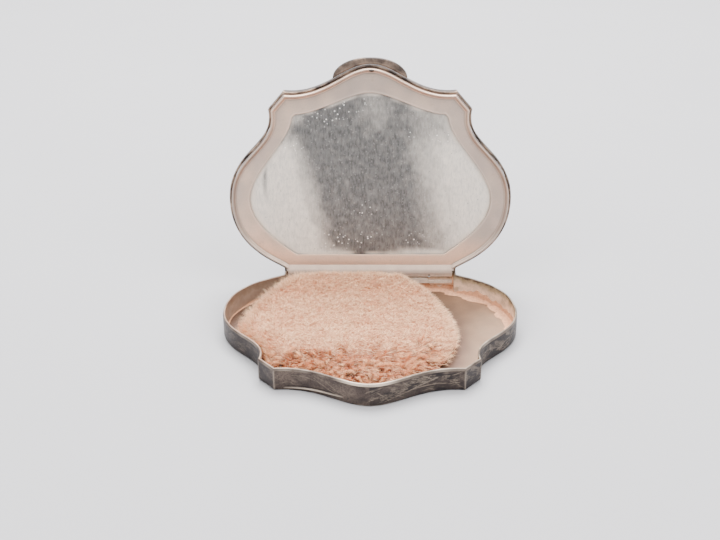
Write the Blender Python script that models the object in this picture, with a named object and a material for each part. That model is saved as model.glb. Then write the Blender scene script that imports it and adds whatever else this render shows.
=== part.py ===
"""Powder compact: a shallow cartouche-shaped tray, a hinged mirror lid standing open, and a loose powder puff.

World frame: metres, +Z up, hinge at the back (+Y), front of the compact toward -Y, tray standing on z = 0.
Outline points are (x, d) in millimetres, d measured forward of the hinge axis. Lid pieces are drawn closed,
with h measured up from the hinge axis, and are then swung open about that axis.
"""

import math

import bmesh
import bpy
from mathutils import Vector

# ---- driving dimensions, millimetres and degrees ----
HALF_WIDTH = 38.0
BACK_HALF = 23.6
BACK_D = -0.87
BACK_SIDE_D = 1.3
WIDEST_D = 20.9
NOTCH = (26.9, 45.5)
SHOULDER = (22.8, 50.2)
FRONT_D = 57.1

BASE_HEIGHT = 6.05
BASE_SHEET = 0.6
FLOOR_THICK = 0.6
FIT_GAP = 0.3

HINGE_Y = 28.0
HINGE_Z = 5.5
KNUCKLE_R = 0.85
KNUCKLE_BORE = 0.56
PIN_R = 0.27
KNUCKLE_EDGES = (9.6, 16.2, 22.5)
HINGE_CUT = 1.3
HINGE_CUT_HALF = 22.8

LID_OPEN = 98.0
LID_MOUTH = 0.85
LID_TOP = 4.3
LID_CROWN = 5.4
LID_REAR_CUT = 1.3
LID_CUT_HALF = 25.0
LID_CUT_D = 1.05

FRAME_INSET = 0.95
FRAME_SHEET = 0.6
FRAME_TIP = -0.65
FRAME_FACE = 0.2
FRAME_BACK_D = 1.15
MIRROR_MARGIN = 0.8

LIP_HALF = 9.75
LIP_FOOT = 53.9
LIP_RISE = 5.13
LIP_ROOT = 0.35

PUFF_CENTRE = (-5.5, 28.3)
PUFF_R = 28.0
PUFF_FLOOR = 1.5
PUFF_TOP = 5.4

MM = 0.001


def bezier(p0, p1, p2, p3, count):
    """Points of one cubic after its start point, up to and including its end point."""
    points = []
    for i in range(1, count + 1):
        t = i / count
        s = 1.0 - t
        a, b, c, d = s**3, 3 * s * s * t, 3 * s * t * t, t**3
        x = a * p0[0] + b * p1[0] + c * p2[0] + d * p3[0]
        y = a * p0[1] + b * p1[1] + c * p2[1] + d * p3[1]
        points.append((x, y))
    return points


def mirrored(half):
    """A closed outline from its right half, which runs from the back edge to the front centre."""
    left = [(-x, d) for x, d in reversed(half) if x > 1e-6]
    return half + left


def case_outline():
    """The cartouche outline shared by the tray and the lid."""
    back = (BACK_HALF, BACK_SIDE_D)
    widest = (HALF_WIDTH, WIDEST_D)
    half = [(BACK_HALF, BACK_D), back]
    half += bezier(back, (25.8, 3.0), (HALF_WIDTH, 6.9), widest, 10)
    half += bezier(widest, (HALF_WIDTH, 34.4), (25.0, 35.5), NOTCH, 10)
    half.append(SHOULDER)
    half += bezier(SHOULDER, (12.2, 49.0), (7.0, FRONT_D), (0.0, FRONT_D), 10)
    return mirrored(half)


def mirror_outline():
    """The smoother opening of the mirror frame, point for point alongside the case outline."""
    back = (20.6, 5.8)
    widest = (32.5, 21.0)
    notch = (20.7, 43.3)
    shoulder = (19.8, 44.3)
    half = [(20.0, 5.5), back]
    half += bezier(back, (25.5, 9.3), (32.5, 14.5), widest, 10)
    half += bezier(widest, (32.5, 28.5), (21.2, 37.0), notch, 10)
    half.append(shoulder)
    half += bezier(shoulder, (14.0, 44.3), (5.5, 50.0), (0.0, 50.0), 10)
    return mirrored(half)


def inset(points, distance):
    """The outline moved inward by a distance, with mitred corners."""
    count = len(points)
    moved = []
    for i, (x, d) in enumerate(points):
        before = Vector(points[i - 1])
        after = Vector(points[(i + 1) % count])
        here = Vector((x, d))
        u = (here - before).normalized()
        v = (after - here).normalized()
        n1 = Vector((-u.y, u.x))
        n2 = Vector((-v.y, v.x))
        mitre = n1 + n2
        moved.append(tuple(here + mitre * (2.0 * distance / mitre.length_squared)))
    return moved


def clamp_back(points, least):
    """The outline with every point kept at least this far forward of the hinge axis."""
    return [(x, max(d, least)) for x, d in points]


def inside(points, x, d):
    """True when (x, d) lies within the closed outline."""
    hit = False
    for i, (x1, d1) in enumerate(points):
        x0, d0 = points[i - 1]
        if (d0 > d) != (d1 > d) and x < (x1 - x0) * (d - d0) / (d1 - d0) + x0:
            hit = not hit
    return hit


def tray_point(x, d, z):
    """Millimetres over the tray floor to world metres."""
    return Vector((x, HINGE_Y - d, z)) * MM


def lid_point(x, d, h):
    """A closed-lid point swung open about the hinge, in world metres."""
    turn = math.radians(LID_OPEN)
    y = -d * math.cos(turn) + h * math.sin(turn)
    z = d * math.sin(turn) + h * math.cos(turn)
    return Vector((x, HINGE_Y + y, HINGE_Z + z)) * MM


HINGE_ORIGIN = Vector((0.0, HINGE_Y, HINGE_Z)) * MM
PUFF_ORIGIN = Vector((PUFF_CENTRE[0], HINGE_Y - PUFF_CENTRE[1], PUFF_FLOOR)) * MM


def make_material(name, colour, metallic, roughness):
    material = bpy.data.materials.new(name)
    material.use_nodes = True
    shader = material.node_tree.nodes["Principled BSDF"]
    shader.inputs["Base Color"].default_value = (*colour, 1.0)
    shader.inputs["Metallic"].default_value = metallic
    shader.inputs["Roughness"].default_value = roughness
    return material


def add_object(name, bm, finish, origin=Vector((0.0, 0.0, 0.0)), smooth=False):
    """Turn a bmesh in world metres into a named object standing on its own origin."""
    bmesh.ops.recalc_face_normals(bm, faces=bm.faces)
    bmesh.ops.translate(bm, vec=-origin, verts=bm.verts)
    mesh = bpy.data.meshes.new(name)
    bm.to_mesh(mesh)
    bm.free()
    for face in mesh.polygons:
        face.use_smooth = smooth
    obj = bpy.data.objects.new(name, mesh)
    obj.location = origin
    bpy.context.scene.collection.objects.link(obj)
    mesh.materials.append(make_material(name + "_finish", *finish))
    return obj


def band(rows, closed_rows):
    """Skin matching loops of points; closed_rows joins the last loop back to the first."""
    bm = bmesh.new()
    loops = [[bm.verts.new(p) for p in row] for row in rows]
    pairs = list(zip(loops, loops[1:]))
    if closed_rows:
        pairs.append((loops[-1], loops[0]))
    for low, high in pairs:
        for i in range(len(low)):
            j = (i + 1) % len(low)
            bm.faces.new((low[i], low[j], high[j], high[i]))
    return bm, loops


def ring_object(name, rows, finish, origin=Vector((0.0, 0.0, 0.0))):
    """A closed ring: the section goes right round, the rows come back to the first."""
    bm, _ = band(rows, True)
    return add_object(name, bm, finish, origin)


def solid_object(name, rows, finish, origin=Vector((0.0, 0.0, 0.0)), smooth=False):
    """A solid stack of loops with a flat face at each end."""
    bm, loops = band(rows, False)
    bm.faces.new(loops[0])
    bm.faces.new(loops[-1])
    bmesh.ops.triangulate(bm, faces=[f for f in bm.faces if len(f.verts) > 4])
    return add_object(name, bm, finish, origin, smooth)


def boxed(name, low, high, place):
    """A hidden cutting box between two (x, d, h) corners."""
    bm = bmesh.new()
    corners = []
    for x in (low[0], high[0]):
        for d in (low[1], high[1]):
            for h in (low[2], high[2]):
                corners.append(bm.verts.new(place(x, d, h)))
    for face in ((0, 1, 3, 2), (4, 6, 7, 5), (0, 4, 5, 1), (2, 3, 7, 6), (0, 2, 6, 4), (1, 5, 7, 3)):
        bm.faces.new([corners[i] for i in face])
    return hide_cutter(add_object(name, bm, PLAIN))


def ball(name, centre, radius, place):
    """A hidden round tool for the catch."""
    bm = bmesh.new()
    bmesh.ops.create_icosphere(bm, subdivisions=2, radius=radius * MM)
    bmesh.ops.translate(bm, vec=place(*centre), verts=bm.verts)
    return hide_cutter(add_object(name, bm, PLAIN))


def hide_cutter(obj):
    obj.hide_render = True
    obj.display_type = "WIRE"
    return obj


def combine(obj, tool, operation):
    change = obj.modifiers.new(operation.lower(), "BOOLEAN")
    change.operation = operation
    change.solver = "EXACT"
    change.object = tool


PLAIN = ((0.5, 0.5, 0.5), 0.0, 0.5)
SILVER_DARK = ((0.20, 0.19, 0.18), 1.0, 0.42)
SILVER_PALE = ((0.78, 0.72, 0.66), 1.0, 0.38)
SILVER_HINGE = ((0.72, 0.66, 0.60), 1.0, 0.35)
STEEL = ((0.45, 0.44, 0.43), 1.0, 0.35)
MIRROR = ((0.62, 0.64, 0.66), 1.0, 0.12)
CARD = ((0.42, 0.34, 0.24), 0.0, 0.9)
PILE = ((0.86, 0.62, 0.50), 0.0, 0.95)
FABRIC = ((0.82, 0.58, 0.48), 0.0, 0.85)

CASE = case_outline()
OPENING = mirror_outline()


def wall_rows(section, place):
    """The case outline carried through a section of (inset, height) points."""
    return [[place(x, d, h) for x, d in inset(CASE, w)] for w, h in section]


def build_base_wall():
    top = BASE_HEIGHT
    section = [(0.55, 0.0), (0.25, 0.08), (0.06, 0.32), (0.0, 0.7), (0.0, top - 0.2), (0.15, top)]
    section += [(BASE_SHEET - 0.1, top), (BASE_SHEET, top - 0.1), (BASE_SHEET, 0.0)]
    wall = ring_object("base_wall", wall_rows(section, tray_point), SILVER_DARK)
    low = (-HINGE_CUT_HALF, -2.5, HINGE_Z - HINGE_CUT)
    high = (HINGE_CUT_HALF, 0.9, top + 1.0)
    combine(wall, boxed("base_wall_hinge_cut", low, high, tray_point), "DIFFERENCE")
    seat = (0.0, FRONT_D - BASE_SHEET - 0.3, HINGE_Z - 0.1)
    combine(wall, ball("base_wall_catch_cut", seat, 0.62, tray_point), "DIFFERENCE")


def build_base_floor():
    edge = BASE_SHEET + FIT_GAP
    rows = []
    for w, z in ((edge + 0.1, 0.0), (edge, 0.1), (edge, FLOOR_THICK - 0.1), (edge + 0.1, FLOOR_THICK)):
        rows.append([tray_point(x, d, z) for x, d in inset(CASE, w)])
    solid_object("base_floor", rows, SILVER_PALE)


def build_hinge_strip():
    """The strip inside the back of the tray, stepped down under each knuckle that belongs to the lid."""
    inner, outer, end = KNUCKLE_EDGES
    low = 2.85
    tall = HINGE_Z - KNUCKLE_R - FIT_GAP
    short = tall - 0.65
    right = [(inner + 0.3, short), (inner + 0.5, tall), (outer - 0.5, tall), (outer - 0.3, short), (end, short)]
    near = BACK_D + BASE_SHEET + FIT_GAP
    rows = []
    for x, top in [(-x, z) for x, z in reversed(right)] + right:
        corners = ((near, low), (near + 0.6, low), (near + 0.6, top), (near, top))
        rows.append([tray_point(x, d, z) for d, z in corners])
    solid_object("base_hinge_strip", rows, SILVER_PALE)


def knuckle(name, x0, x1, origin):
    """One hollow hinge knuckle lying along the hinge axis."""
    sides = 20
    section = [(KNUCKLE_BORE, x0), (KNUCKLE_R - 0.1, x0), (KNUCKLE_R, x0 + 0.1)]
    section += [(KNUCKLE_R, x1 - 0.1), (KNUCKLE_R - 0.1, x1), (KNUCKLE_BORE, x1)]
    rows = []
    for r, x in section:
        row = []
        for i in range(sides):
            a = 2 * math.pi * i / sides
            row.append(HINGE_ORIGIN + Vector((x, r * math.cos(a), r * math.sin(a))) * MM)
        rows.append(row)
    bm, _ = band(rows, True)
    add_object(name, bm, SILVER_HINGE, origin)


def build_hinge():
    inner, outer, end = KNUCKLE_EDGES
    half = FIT_GAP / 2
    none = Vector((0.0, 0.0, 0.0))
    knuckle("base_knuckle_left", -outer + half, -inner - half, none)
    knuckle("base_knuckle_right", inner + half, outer - half, none)
    knuckle("lid_knuckle_left", -end, -outer - half, HINGE_ORIGIN)
    knuckle("lid_knuckle_centre", -inner + half, inner - half, HINGE_ORIGIN)
    knuckle("lid_knuckle_right", outer + half, end, HINGE_ORIGIN)
    rows = []
    for r, x in ((PIN_R - 0.07, -end - 0.2), (PIN_R, -end - 0.1), (PIN_R, end + 0.1), (PIN_R - 0.07, end + 0.2)):
        row = []
        for i in range(16):
            a = 2 * math.pi * i / 16
            row.append(HINGE_ORIGIN + Vector((x, r * math.cos(a), r * math.sin(a))) * MM)
        rows.append(row)
    solid_object("hinge_pin", rows, STEEL)


def build_lid_wall():
    low, top = LID_MOUTH, LID_TOP
    section = [(BASE_SHEET, low), (0.12, low), (0.0, low + 0.15), (0.0, top - 0.75)]
    section += [(0.08, top - 0.32), (0.3, top - 0.06), (BASE_SHEET, top)]
    wall = ring_object("lid_wall", wall_rows(section, lid_point), SILVER_DARK, HINGE_ORIGIN)
    low_corner = (-LID_CUT_HALF, -2.5, low - 1.0)
    high_corner = (LID_CUT_HALF, LID_CUT_D, LID_REAR_CUT)
    combine(wall, boxed("lid_wall_hinge_cut", low_corner, high_corner, lid_point), "DIFFERENCE")


def scaled(points, factor):
    """The outline shrunk toward the middle of the lid."""
    middle = (0.0, 0.5 * (BACK_D + FRONT_D) - 2.0)
    return [(middle[0] + factor * (x - middle[0]), middle[1] + factor * (d - middle[1])) for x, d in points]


def build_lid_panel():
    """The domed outer panel, a shallow crown of sheet with a parallel underside."""
    edge = inset(CASE, BASE_SHEET + FIT_GAP)
    rise = LID_CROWN - LID_TOP
    rows = []
    for factor in (0.25, 0.55, 0.8, 0.95):
        h = LID_TOP - 0.6 + rise * (1.0 - factor**2)
        rows.append([lid_point(x, d, h) for x, d in scaled(edge, factor)])
    rows.append([lid_point(x, d, LID_TOP - 0.6) for x, d in edge])
    rows.append([lid_point(x, d, LID_TOP - 0.05) for x, d in edge])
    for factor in (0.98, 0.95, 0.8, 0.55, 0.25):
        h = LID_TOP + rise * (1.0 - factor**2)
        rows.append([lid_point(x, d, h) for x, d in scaled(edge, factor)])
    solid_object("lid_panel", rows, SILVER_DARK, HINGE_ORIGIN)


def frame_ring(w, h):
    """One loop of the mirror frame's skirt, kept clear of the hinge barrel at the back."""
    least = FRAME_BACK_D + w - FRAME_INSET
    return [lid_point(x, d, h) for x, d in clamp_back(inset(CASE, w), least)]


def build_mirror_frame():
    outer, inner = FRAME_INSET, FRAME_INSET + FRAME_SHEET
    root = LID_MOUTH + 0.9
    face = FRAME_FACE
    rows = [frame_ring(outer, root), frame_ring(outer, FRAME_TIP + 0.15), frame_ring(outer + 0.15, FRAME_TIP)]
    rows += [frame_ring(inner - 0.15, FRAME_TIP), frame_ring(inner, FRAME_TIP + 0.15), frame_ring(inner, face)]
    rows.append([lid_point(x, d, face) for x, d in OPENING])
    rows.append([lid_point(x, d, face + 0.4) for x, d in OPENING])
    rows += [frame_ring(inner, face + 0.4), frame_ring(inner, root)]
    frame = ring_object("mirror_frame", rows, SILVER_PALE, HINGE_ORIGIN)
    centre = (0.0, FRONT_D - FRAME_INSET - 0.22, -0.1)
    combine(frame, ball("mirror_frame_catch", centre, 0.42, lid_point), "UNION")


def build_mirror():
    wide = inset(OPENING, -MIRROR_MARGIN)
    glass_low = FRAME_FACE + 0.4 + FIT_GAP
    rows = [[lid_point(x, d, h) for x, d in wide] for h in (glass_low, glass_low + 1.0)]
    solid_object("mirror_glass", rows, MIRROR, HINGE_ORIGIN)
    card_low = glass_low + 1.0 + FIT_GAP
    rows = [[lid_point(x, d, h) for x, d in wide] for h in (card_low, card_low + 0.8)]
    solid_object("mirror_card", rows, CARD, HINGE_ORIGIN)


def front_depth(x):
    """How far forward the case outline reaches at a given distance from the middle."""
    right = [p for p in CASE if p[1] > NOTCH[1] and p[0] >= -1e-6]
    right.sort()
    for (x0, d0), (x1, d1) in zip(right, right[1:]):
        if x0 <= abs(x) <= x1:
            return d0 + (d1 - d0) * (abs(x) - x0) / (x1 - x0)
    return SHOULDER[1]


def lip_depth(x):
    """The outer edge of the thumb lip: a flattened half ellipse whose ends land on the outline."""
    share = min(1.0, abs(x) / LIP_HALF)
    arc = LIP_FOOT + LIP_RISE * (1.0 - share**2.2) ** 0.56
    return max(arc, front_depth(x) + FIT_GAP + LIP_ROOT)


def build_thumb_lip():
    stations = 24
    low, high = LID_MOUTH + 0.1, LID_MOUTH + 1.1
    rows = []
    for i in range(stations + 1):
        x = LIP_HALF * math.sin(math.pi * (i / stations - 0.5))
        near = front_depth(x) + FIT_GAP
        far = lip_depth(x)
        b = 0.25 * min(1.0, far - near)
        section = [(near, low), (far - b, low), (far, low + b), (far, high - b), (far - b, high), (near, high)]
        rows.append([lid_point(x, d, h) for d, h in section])
    solid_object("thumb_lip", rows, SILVER_DARK, HINGE_ORIGIN)


def puff_reach(angle, room):
    """Distance from the puff's middle to its edge: a disc pressed in where the wall is nearer."""
    low, high = 5.0, PUFF_R
    cx, cd = PUFF_CENTRE
    if inside(room, cx + high * math.cos(angle), cd + high * math.sin(angle)):
        return high
    for _ in range(24):
        mid = 0.5 * (low + high)
        if inside(room, cx + mid * math.cos(angle), cd + mid * math.sin(angle)):
            low = mid
        else:
            high = mid
    return low


def puff_edge():
    """The plan of the puff: round, but squeezed against the hinge, the notch and the front wall."""
    room = clamp_back(inset(CASE, BASE_SHEET + 0.9), 2.9)
    count = 48
    reach = [puff_reach(2 * math.pi * i / count, room) for i in range(count)]
    for _ in range(2):
        reach = [min(r, 0.25 * (reach[i - 1] + 2 * r + reach[(i + 1) % count])) for i, r in enumerate(reach)]
    return reach


def puff_loop(reach, scale, z):
    count = len(reach)
    loop = []
    for i, r in enumerate(reach):
        a = 2 * math.pi * i / count
        loop.append(tray_point(PUFF_CENTRE[0] + scale * r * math.cos(a), PUFF_CENTRE[1] + scale * r * math.sin(a), z))
    return loop


def build_puff():
    reach = puff_edge()
    low, top = PUFF_FLOOR, PUFF_TOP
    section = [(0.5, low), (0.9, low), (0.965, low + 0.4), (1.0, low + 1.3), (0.985, low + 2.2), (0.93, low + 2.9)]
    section += [(0.82, top - 0.45), (0.62, top - 0.15), (0.3, top)]
    rows = [puff_loop(reach, s, z) for s, z in section]
    solid_object("puff_pile", rows, PILE, PUFF_ORIGIN, smooth=True)
    low = FLOOR_THICK + FIT_GAP
    rows = [puff_loop(reach, s, z) for s, z in ((0.86, low), (0.87, low + 0.1), (0.87, low + 0.2), (0.86, low + 0.3))]
    solid_object("puff_backing", rows, FABRIC, PUFF_ORIGIN)


def build():
    for obj in list(bpy.data.objects):
        bpy.data.objects.remove(obj, do_unlink=True)
    build_base_wall()
    build_base_floor()
    build_hinge_strip()
    build_hinge()
    build_lid_wall()
    build_lid_panel()
    build_mirror_frame()
    build_mirror()
    build_thumb_lip()
    build_puff()


build()
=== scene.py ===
import math

import bpy
import numpy as np
from mathutils import Matrix, Vector


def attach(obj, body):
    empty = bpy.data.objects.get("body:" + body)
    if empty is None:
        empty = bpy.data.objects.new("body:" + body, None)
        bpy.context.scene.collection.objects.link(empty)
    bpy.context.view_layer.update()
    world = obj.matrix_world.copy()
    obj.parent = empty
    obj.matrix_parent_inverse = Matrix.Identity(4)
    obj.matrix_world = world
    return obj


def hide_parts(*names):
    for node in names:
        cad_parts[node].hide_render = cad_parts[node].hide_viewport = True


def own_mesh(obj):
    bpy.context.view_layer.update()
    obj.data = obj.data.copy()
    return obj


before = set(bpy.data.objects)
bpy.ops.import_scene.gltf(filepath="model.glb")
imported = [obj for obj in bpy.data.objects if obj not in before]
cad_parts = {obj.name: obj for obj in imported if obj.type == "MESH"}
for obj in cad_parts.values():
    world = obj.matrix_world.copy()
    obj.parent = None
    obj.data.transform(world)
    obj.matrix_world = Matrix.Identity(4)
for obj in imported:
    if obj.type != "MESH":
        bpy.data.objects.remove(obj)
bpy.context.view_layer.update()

# ---- sizes repeated from the CAD, millimetres and degrees ----
HALF_WIDTH = 38.0
BACK_HALF = 23.6
BACK_D = -0.87
BACK_SIDE_D = 1.3
WIDEST_D = 20.9
NOTCH = (26.9, 45.5)
SHOULDER = (22.8, 50.2)
FRONT_D = 57.1
BASE_HEIGHT = 6.05
BASE_SHEET = 0.6
FLOOR_THICK = 0.6
FIT_GAP = 0.3
HINGE_Y = 28.0
HINGE_Z = 5.5
HINGE_CUT = 1.3
HINGE_CUT_HALF = 22.8
LID_OPEN = 98.0
LID_MOUTH = 0.85
LID_TOP = 4.3
LID_CROWN = 5.4
LID_REAR_CUT = 1.3
LID_CUT_HALF = 25.0
LID_CUT_D = 1.05
FRAME_INSET = 0.95
FRAME_SHEET = 0.6
FRAME_TIP = -0.65
FRAME_FACE = 0.2
FRAME_BACK_D = 1.15
MIRROR_MARGIN = 0.8
LIP_HALF = 9.75
LIP_FOOT = 53.9
LIP_RISE = 5.13
KNUCKLE_R = 0.85
KNUCKLE_BORE = 0.56
KNUCKLE_EDGES = (9.6, 16.2, 22.5)
PUFF_CENTRE = (-5.5, 28.3)
PUFF_R = 28.0
PUFF_FLOOR = 1.5

# ---- sizes of the looks alone, millimetres ----
PUFF_TOP = 6.2
RING_SIDES = 32
LEAF_HALF = 22.4
WALL_HALF_ROUND = 112.0
QUIET_FROM = -58.0
QUIET_TO = -1.0

# ---- camera and lights, metres and degrees ----
CAMERA_AT = (0.00096, -0.25064, 0.14928)
CAMERA_TURN = (27.111, -0.771, -0.333)
CAMERA_LENS = 56.9
SOFTBOXES = (
    ("softbox_left", (-0.55, -0.4, 0.75), (0, 0, 0.02), (0.6, 0.6), 11.0),
    ("softbox_right", (0.55, -0.4, 0.75), (0, 0, 0.02), (0.6, 0.6), 12.0),
    ("softbox_top", (0.0, 0.4, 0.8), (0, 0, 0), (0.7, 0.5), 34.0),
    ("softbox_back", (0.0, 0.1, 1.2), (0, 0.85, 0.4), (1.4, 0.5), 14.0),
)

MM = 0.001


# ---- outlines: a loop of runs between corners, as (x, d) with d forward of the hinge ----
def bezier(p0, p1, p2, p3, count=60):
    t = np.linspace(0.0, 1.0, count + 1)[:, None]
    p0, p1, p2, p3 = map(np.array, (p0, p1, p2, p3))
    return (1 - t) ** 3 * p0 + 3 * (1 - t) ** 2 * t * p1 + 3 * (1 - t) * t * t * p2 + t**3 * p3


def straight(a, b, count=24):
    t = np.linspace(0.0, 1.0, count + 1)[:, None]
    return (1 - t) * np.array(a) + t * np.array(b)


def loop_of(post, side, chamfer, front):
    """Eight runs anticlockwise from the back right corner; the left ones mirror the right."""
    flip = np.array((-1.0, 1.0))
    left = [run[::-1] * flip for run in (chamfer, side, post)]
    crown = np.vstack([front, (front[::-1] * flip)[1:]])
    back = straight(post[0] * flip, post[0], 96)
    return [post, side, chamfer, crown, *left, back]


def case_loop():
    back = (BACK_HALF, BACK_SIDE_D)
    widest = (HALF_WIDTH, WIDEST_D)
    rear = bezier(back, (25.8, 3.0), (HALF_WIDTH, 6.9), widest)
    fore = bezier(widest, (HALF_WIDTH, 34.4), (25.0, 35.5), NOTCH)
    front = bezier(SHOULDER, (12.2, 49.0), (7.0, FRONT_D), (0.0, FRONT_D))
    side = np.vstack([rear, fore[1:]])
    return loop_of(straight((BACK_HALF, BACK_D), back), side, straight(NOTCH, SHOULDER), front)


def opening_loop():
    back = (20.6, 5.8)
    widest = (32.5, 21.0)
    notch = (20.7, 43.3)
    shoulder = (19.8, 44.3)
    rear = bezier(back, (25.5, 9.3), (32.5, 14.5), widest)
    fore = bezier(widest, (32.5, 28.5), (21.2, 37.0), notch)
    front = bezier(shoulder, (14.0, 44.3), (5.5, 50.0), (0.0, 50.0))
    side = np.vstack([rear, fore[1:]])
    return loop_of(straight((20.0, 5.5), back), side, straight(notch, shoulder), front)


def length_of(line):
    return np.linalg.norm(np.diff(line, axis=0), axis=1).sum()


def evenly(line, count):
    """The polyline walked in equal steps, without its last point."""
    step = np.linalg.norm(np.diff(line, axis=0), axis=1)
    reach = np.concatenate([[0.0], np.cumsum(step)])
    at = np.linspace(0.0, reach[-1], count + 1)[:-1]
    return np.stack([np.interp(at, reach, line[:, 0]), np.interp(at, reach, line[:, 1])], 1)


def counts_for(runs, spacing):
    return [max(2, int(round(length_of(run) / spacing))) for run in runs]


def unit(vectors):
    return vectors / np.linalg.norm(vectors, axis=1)[:, None]


def inward(run):
    along = unit(np.gradient(run, axis=0))
    return np.stack([-along[:, 1], along[:, 0]], 1)


def mitre(before, after, distance):
    """Where the offset lines of two runs meet beside their shared corner."""
    both = inward(before)[-1] + inward(after)[0]
    return after[0] + both * (2.0 * distance / both.dot(both))


def inset(runs, distance, counts):
    """The loop moved inward, walked with the same number of steps in each run."""
    points = []
    for i, run in enumerate(runs):
        start = mitre(runs[i - 1], run, distance)
        end = mitre(run, runs[(i + 1) % len(runs)], distance)
        moved = run + inward(run) * distance
        a = int(np.argmin(np.linalg.norm(moved - start, axis=1)))
        b = int(np.argmin(np.linalg.norm(moved - end, axis=1)))
        points.append(evenly(np.vstack([[start], moved[a + 1:b], [end]]), counts[i]))
    return np.vstack(points)


CASE = case_loop()
OPENING = opening_loop()


def tray_points(flat, z):
    z = np.broadcast_to(z, len(flat))
    return np.stack([flat[:, 0], HINGE_Y - flat[:, 1], z], 1) * MM


def lid_points(flat, h):
    """Closed-lid points swung open about the hinge."""
    turn = math.radians(LID_OPEN)
    x, d = flat[:, 0], flat[:, 1]
    h = np.broadcast_to(h, len(flat))
    y = -d * math.cos(turn) + h * math.sin(turn)
    z = d * math.sin(turn) + h * math.cos(turn)
    return np.stack([x, HINGE_Y + y, HINGE_Z + z], 1) * MM


# ---- smooth fields ----
def waves(points, size, seed, count=28):
    """A smooth random field, about -1 to 1, whose lumps are about size across."""
    rng = np.random.default_rng(seed)
    dims = points.shape[1]
    heading = unit(rng.normal(size=(count, dims)))
    pitch = 2 * math.pi / size * rng.uniform(0.45, 1.3, count)[:, None]
    phase = rng.uniform(0, 2 * math.pi, count)
    return np.cos(points @ (heading * pitch).T + phase).sum(1) / math.sqrt(count)


def smooth(value, low, high):
    t = np.clip((value - low) / (high - low), 0.0, 1.0)
    return t * t * (3 - 2 * t)


# ---- meshes ----
def grid_faces(rows, cols, close_rows=False, start=0):
    """Quads over loops of points, each loop closed on itself."""
    r = np.arange(rows if close_rows else rows - 1)[:, None]
    c = np.arange(cols)[None, :]
    above = (r + 1) % rows
    after = (c + 1) % cols
    quads = [r * cols + c, r * cols + after, above * cols + after, above * cols + c]
    return np.stack(quads, -1).reshape(-1, 4) + start


def fan_faces(loop_start, cols, hub, flip):
    c = np.arange(cols)
    a, b = loop_start + c, loop_start + (c + 1) % cols
    if flip:
        a, b = b, a
    return np.stack([a, b, np.full(cols, hub)], 1)


def volume_sign(points, quads, tris):
    total = 0.0
    for part in (quads[:, (0, 1, 2)], quads[:, (0, 2, 3)], tris):
        a, b, c = points[part[:, 0]], points[part[:, 1]], points[part[:, 2]]
        total += np.einsum("ij,ij->i", a, np.cross(b, c)).sum()
    return total


def make_piece(name, points, quads, tris, body, material, fields, replaced=()):
    """A smooth mesh piece from arrays, riding on a body."""
    centred = points - points.mean(0)
    if volume_sign(centred, quads, tris) < 0:
        quads, tris = quads[:, ::-1], tris[:, ::-1]
    mesh = bpy.data.meshes.new(name)
    mesh.vertices.add(len(points))
    mesh.vertices.foreach_set("co", points.astype(np.float32).ravel())
    corners = np.concatenate([quads.ravel(), tris.ravel()]).astype(np.int32)
    mesh.loops.add(len(corners))
    mesh.loops.foreach_set("vertex_index", corners)
    starts = np.concatenate([np.arange(len(quads)) * 4, len(quads) * 4 + np.arange(len(tris)) * 3])
    mesh.polygons.add(len(starts))
    mesh.polygons.foreach_set("loop_start", starts.astype(np.int32))
    mesh.update(calc_edges=True)
    mesh.validate()
    mesh.shade_smooth()
    for key, values in fields.items():
        layer = mesh.attributes.new(key, "FLOAT", "POINT")
        layer.data.foreach_set("value", values.astype(np.float32))
    mesh.materials.append(material)
    obj = bpy.data.objects.new(name, mesh)
    bpy.context.scene.collection.objects.link(obj)
    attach(obj, body)
    if replaced:
        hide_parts(*replaced)
    return obj


def capped(rows):
    """Points and faces of stacked loops with a fan across each end."""
    count, cols = len(rows), len(rows[0])
    points = np.vstack([*rows, rows[0].mean(0)[None], rows[-1].mean(0)[None]])
    quads = grid_faces(count, cols)
    low = fan_faces(0, cols, count * cols, True)
    high = fan_faces((count - 1) * cols, cols, count * cols + 1, False)
    return points, quads, np.vstack([low, high])


class Loft:
    """Stacked loops of points that become one piece, with named values at every point."""

    def __init__(self, *fields):
        self.rows = []
        self.fields = {key: [] for key in fields}

    def add(self, points, **values):
        """One more loop; a value that isn't given is 0 all along it."""
        self.rows.append(points)
        for key, column in self.fields.items():
            column.append(np.broadcast_to(values.get(key, 0.0), len(points)))

    def ring(self, name, body, slot, material, replaced=()):
        """The piece whose last loop joins its first."""
        fields = {key: np.concatenate(column) for key, column in self.fields.items()}
        quads = grid_faces(len(self.rows), len(self.rows[0]), True)
        none = np.zeros((0, 3), int)
        return make_piece(name, np.vstack(self.rows), quads, none, body, material, fields, replaced)

    def solid(self, name, body, slot, material, replaced=(), **hub):
        """The piece whose end loops are closed by fans; hub has the values at the last fan's middle."""
        points, quads, tris = capped(self.rows)
        fields = {}
        for key, column in self.fields.items():
            fields[key] = np.concatenate([*column, [0.0, hub.get(key, 0.0)]])
        return make_piece(name, points, quads, tris, body, material, fields, replaced)


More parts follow.
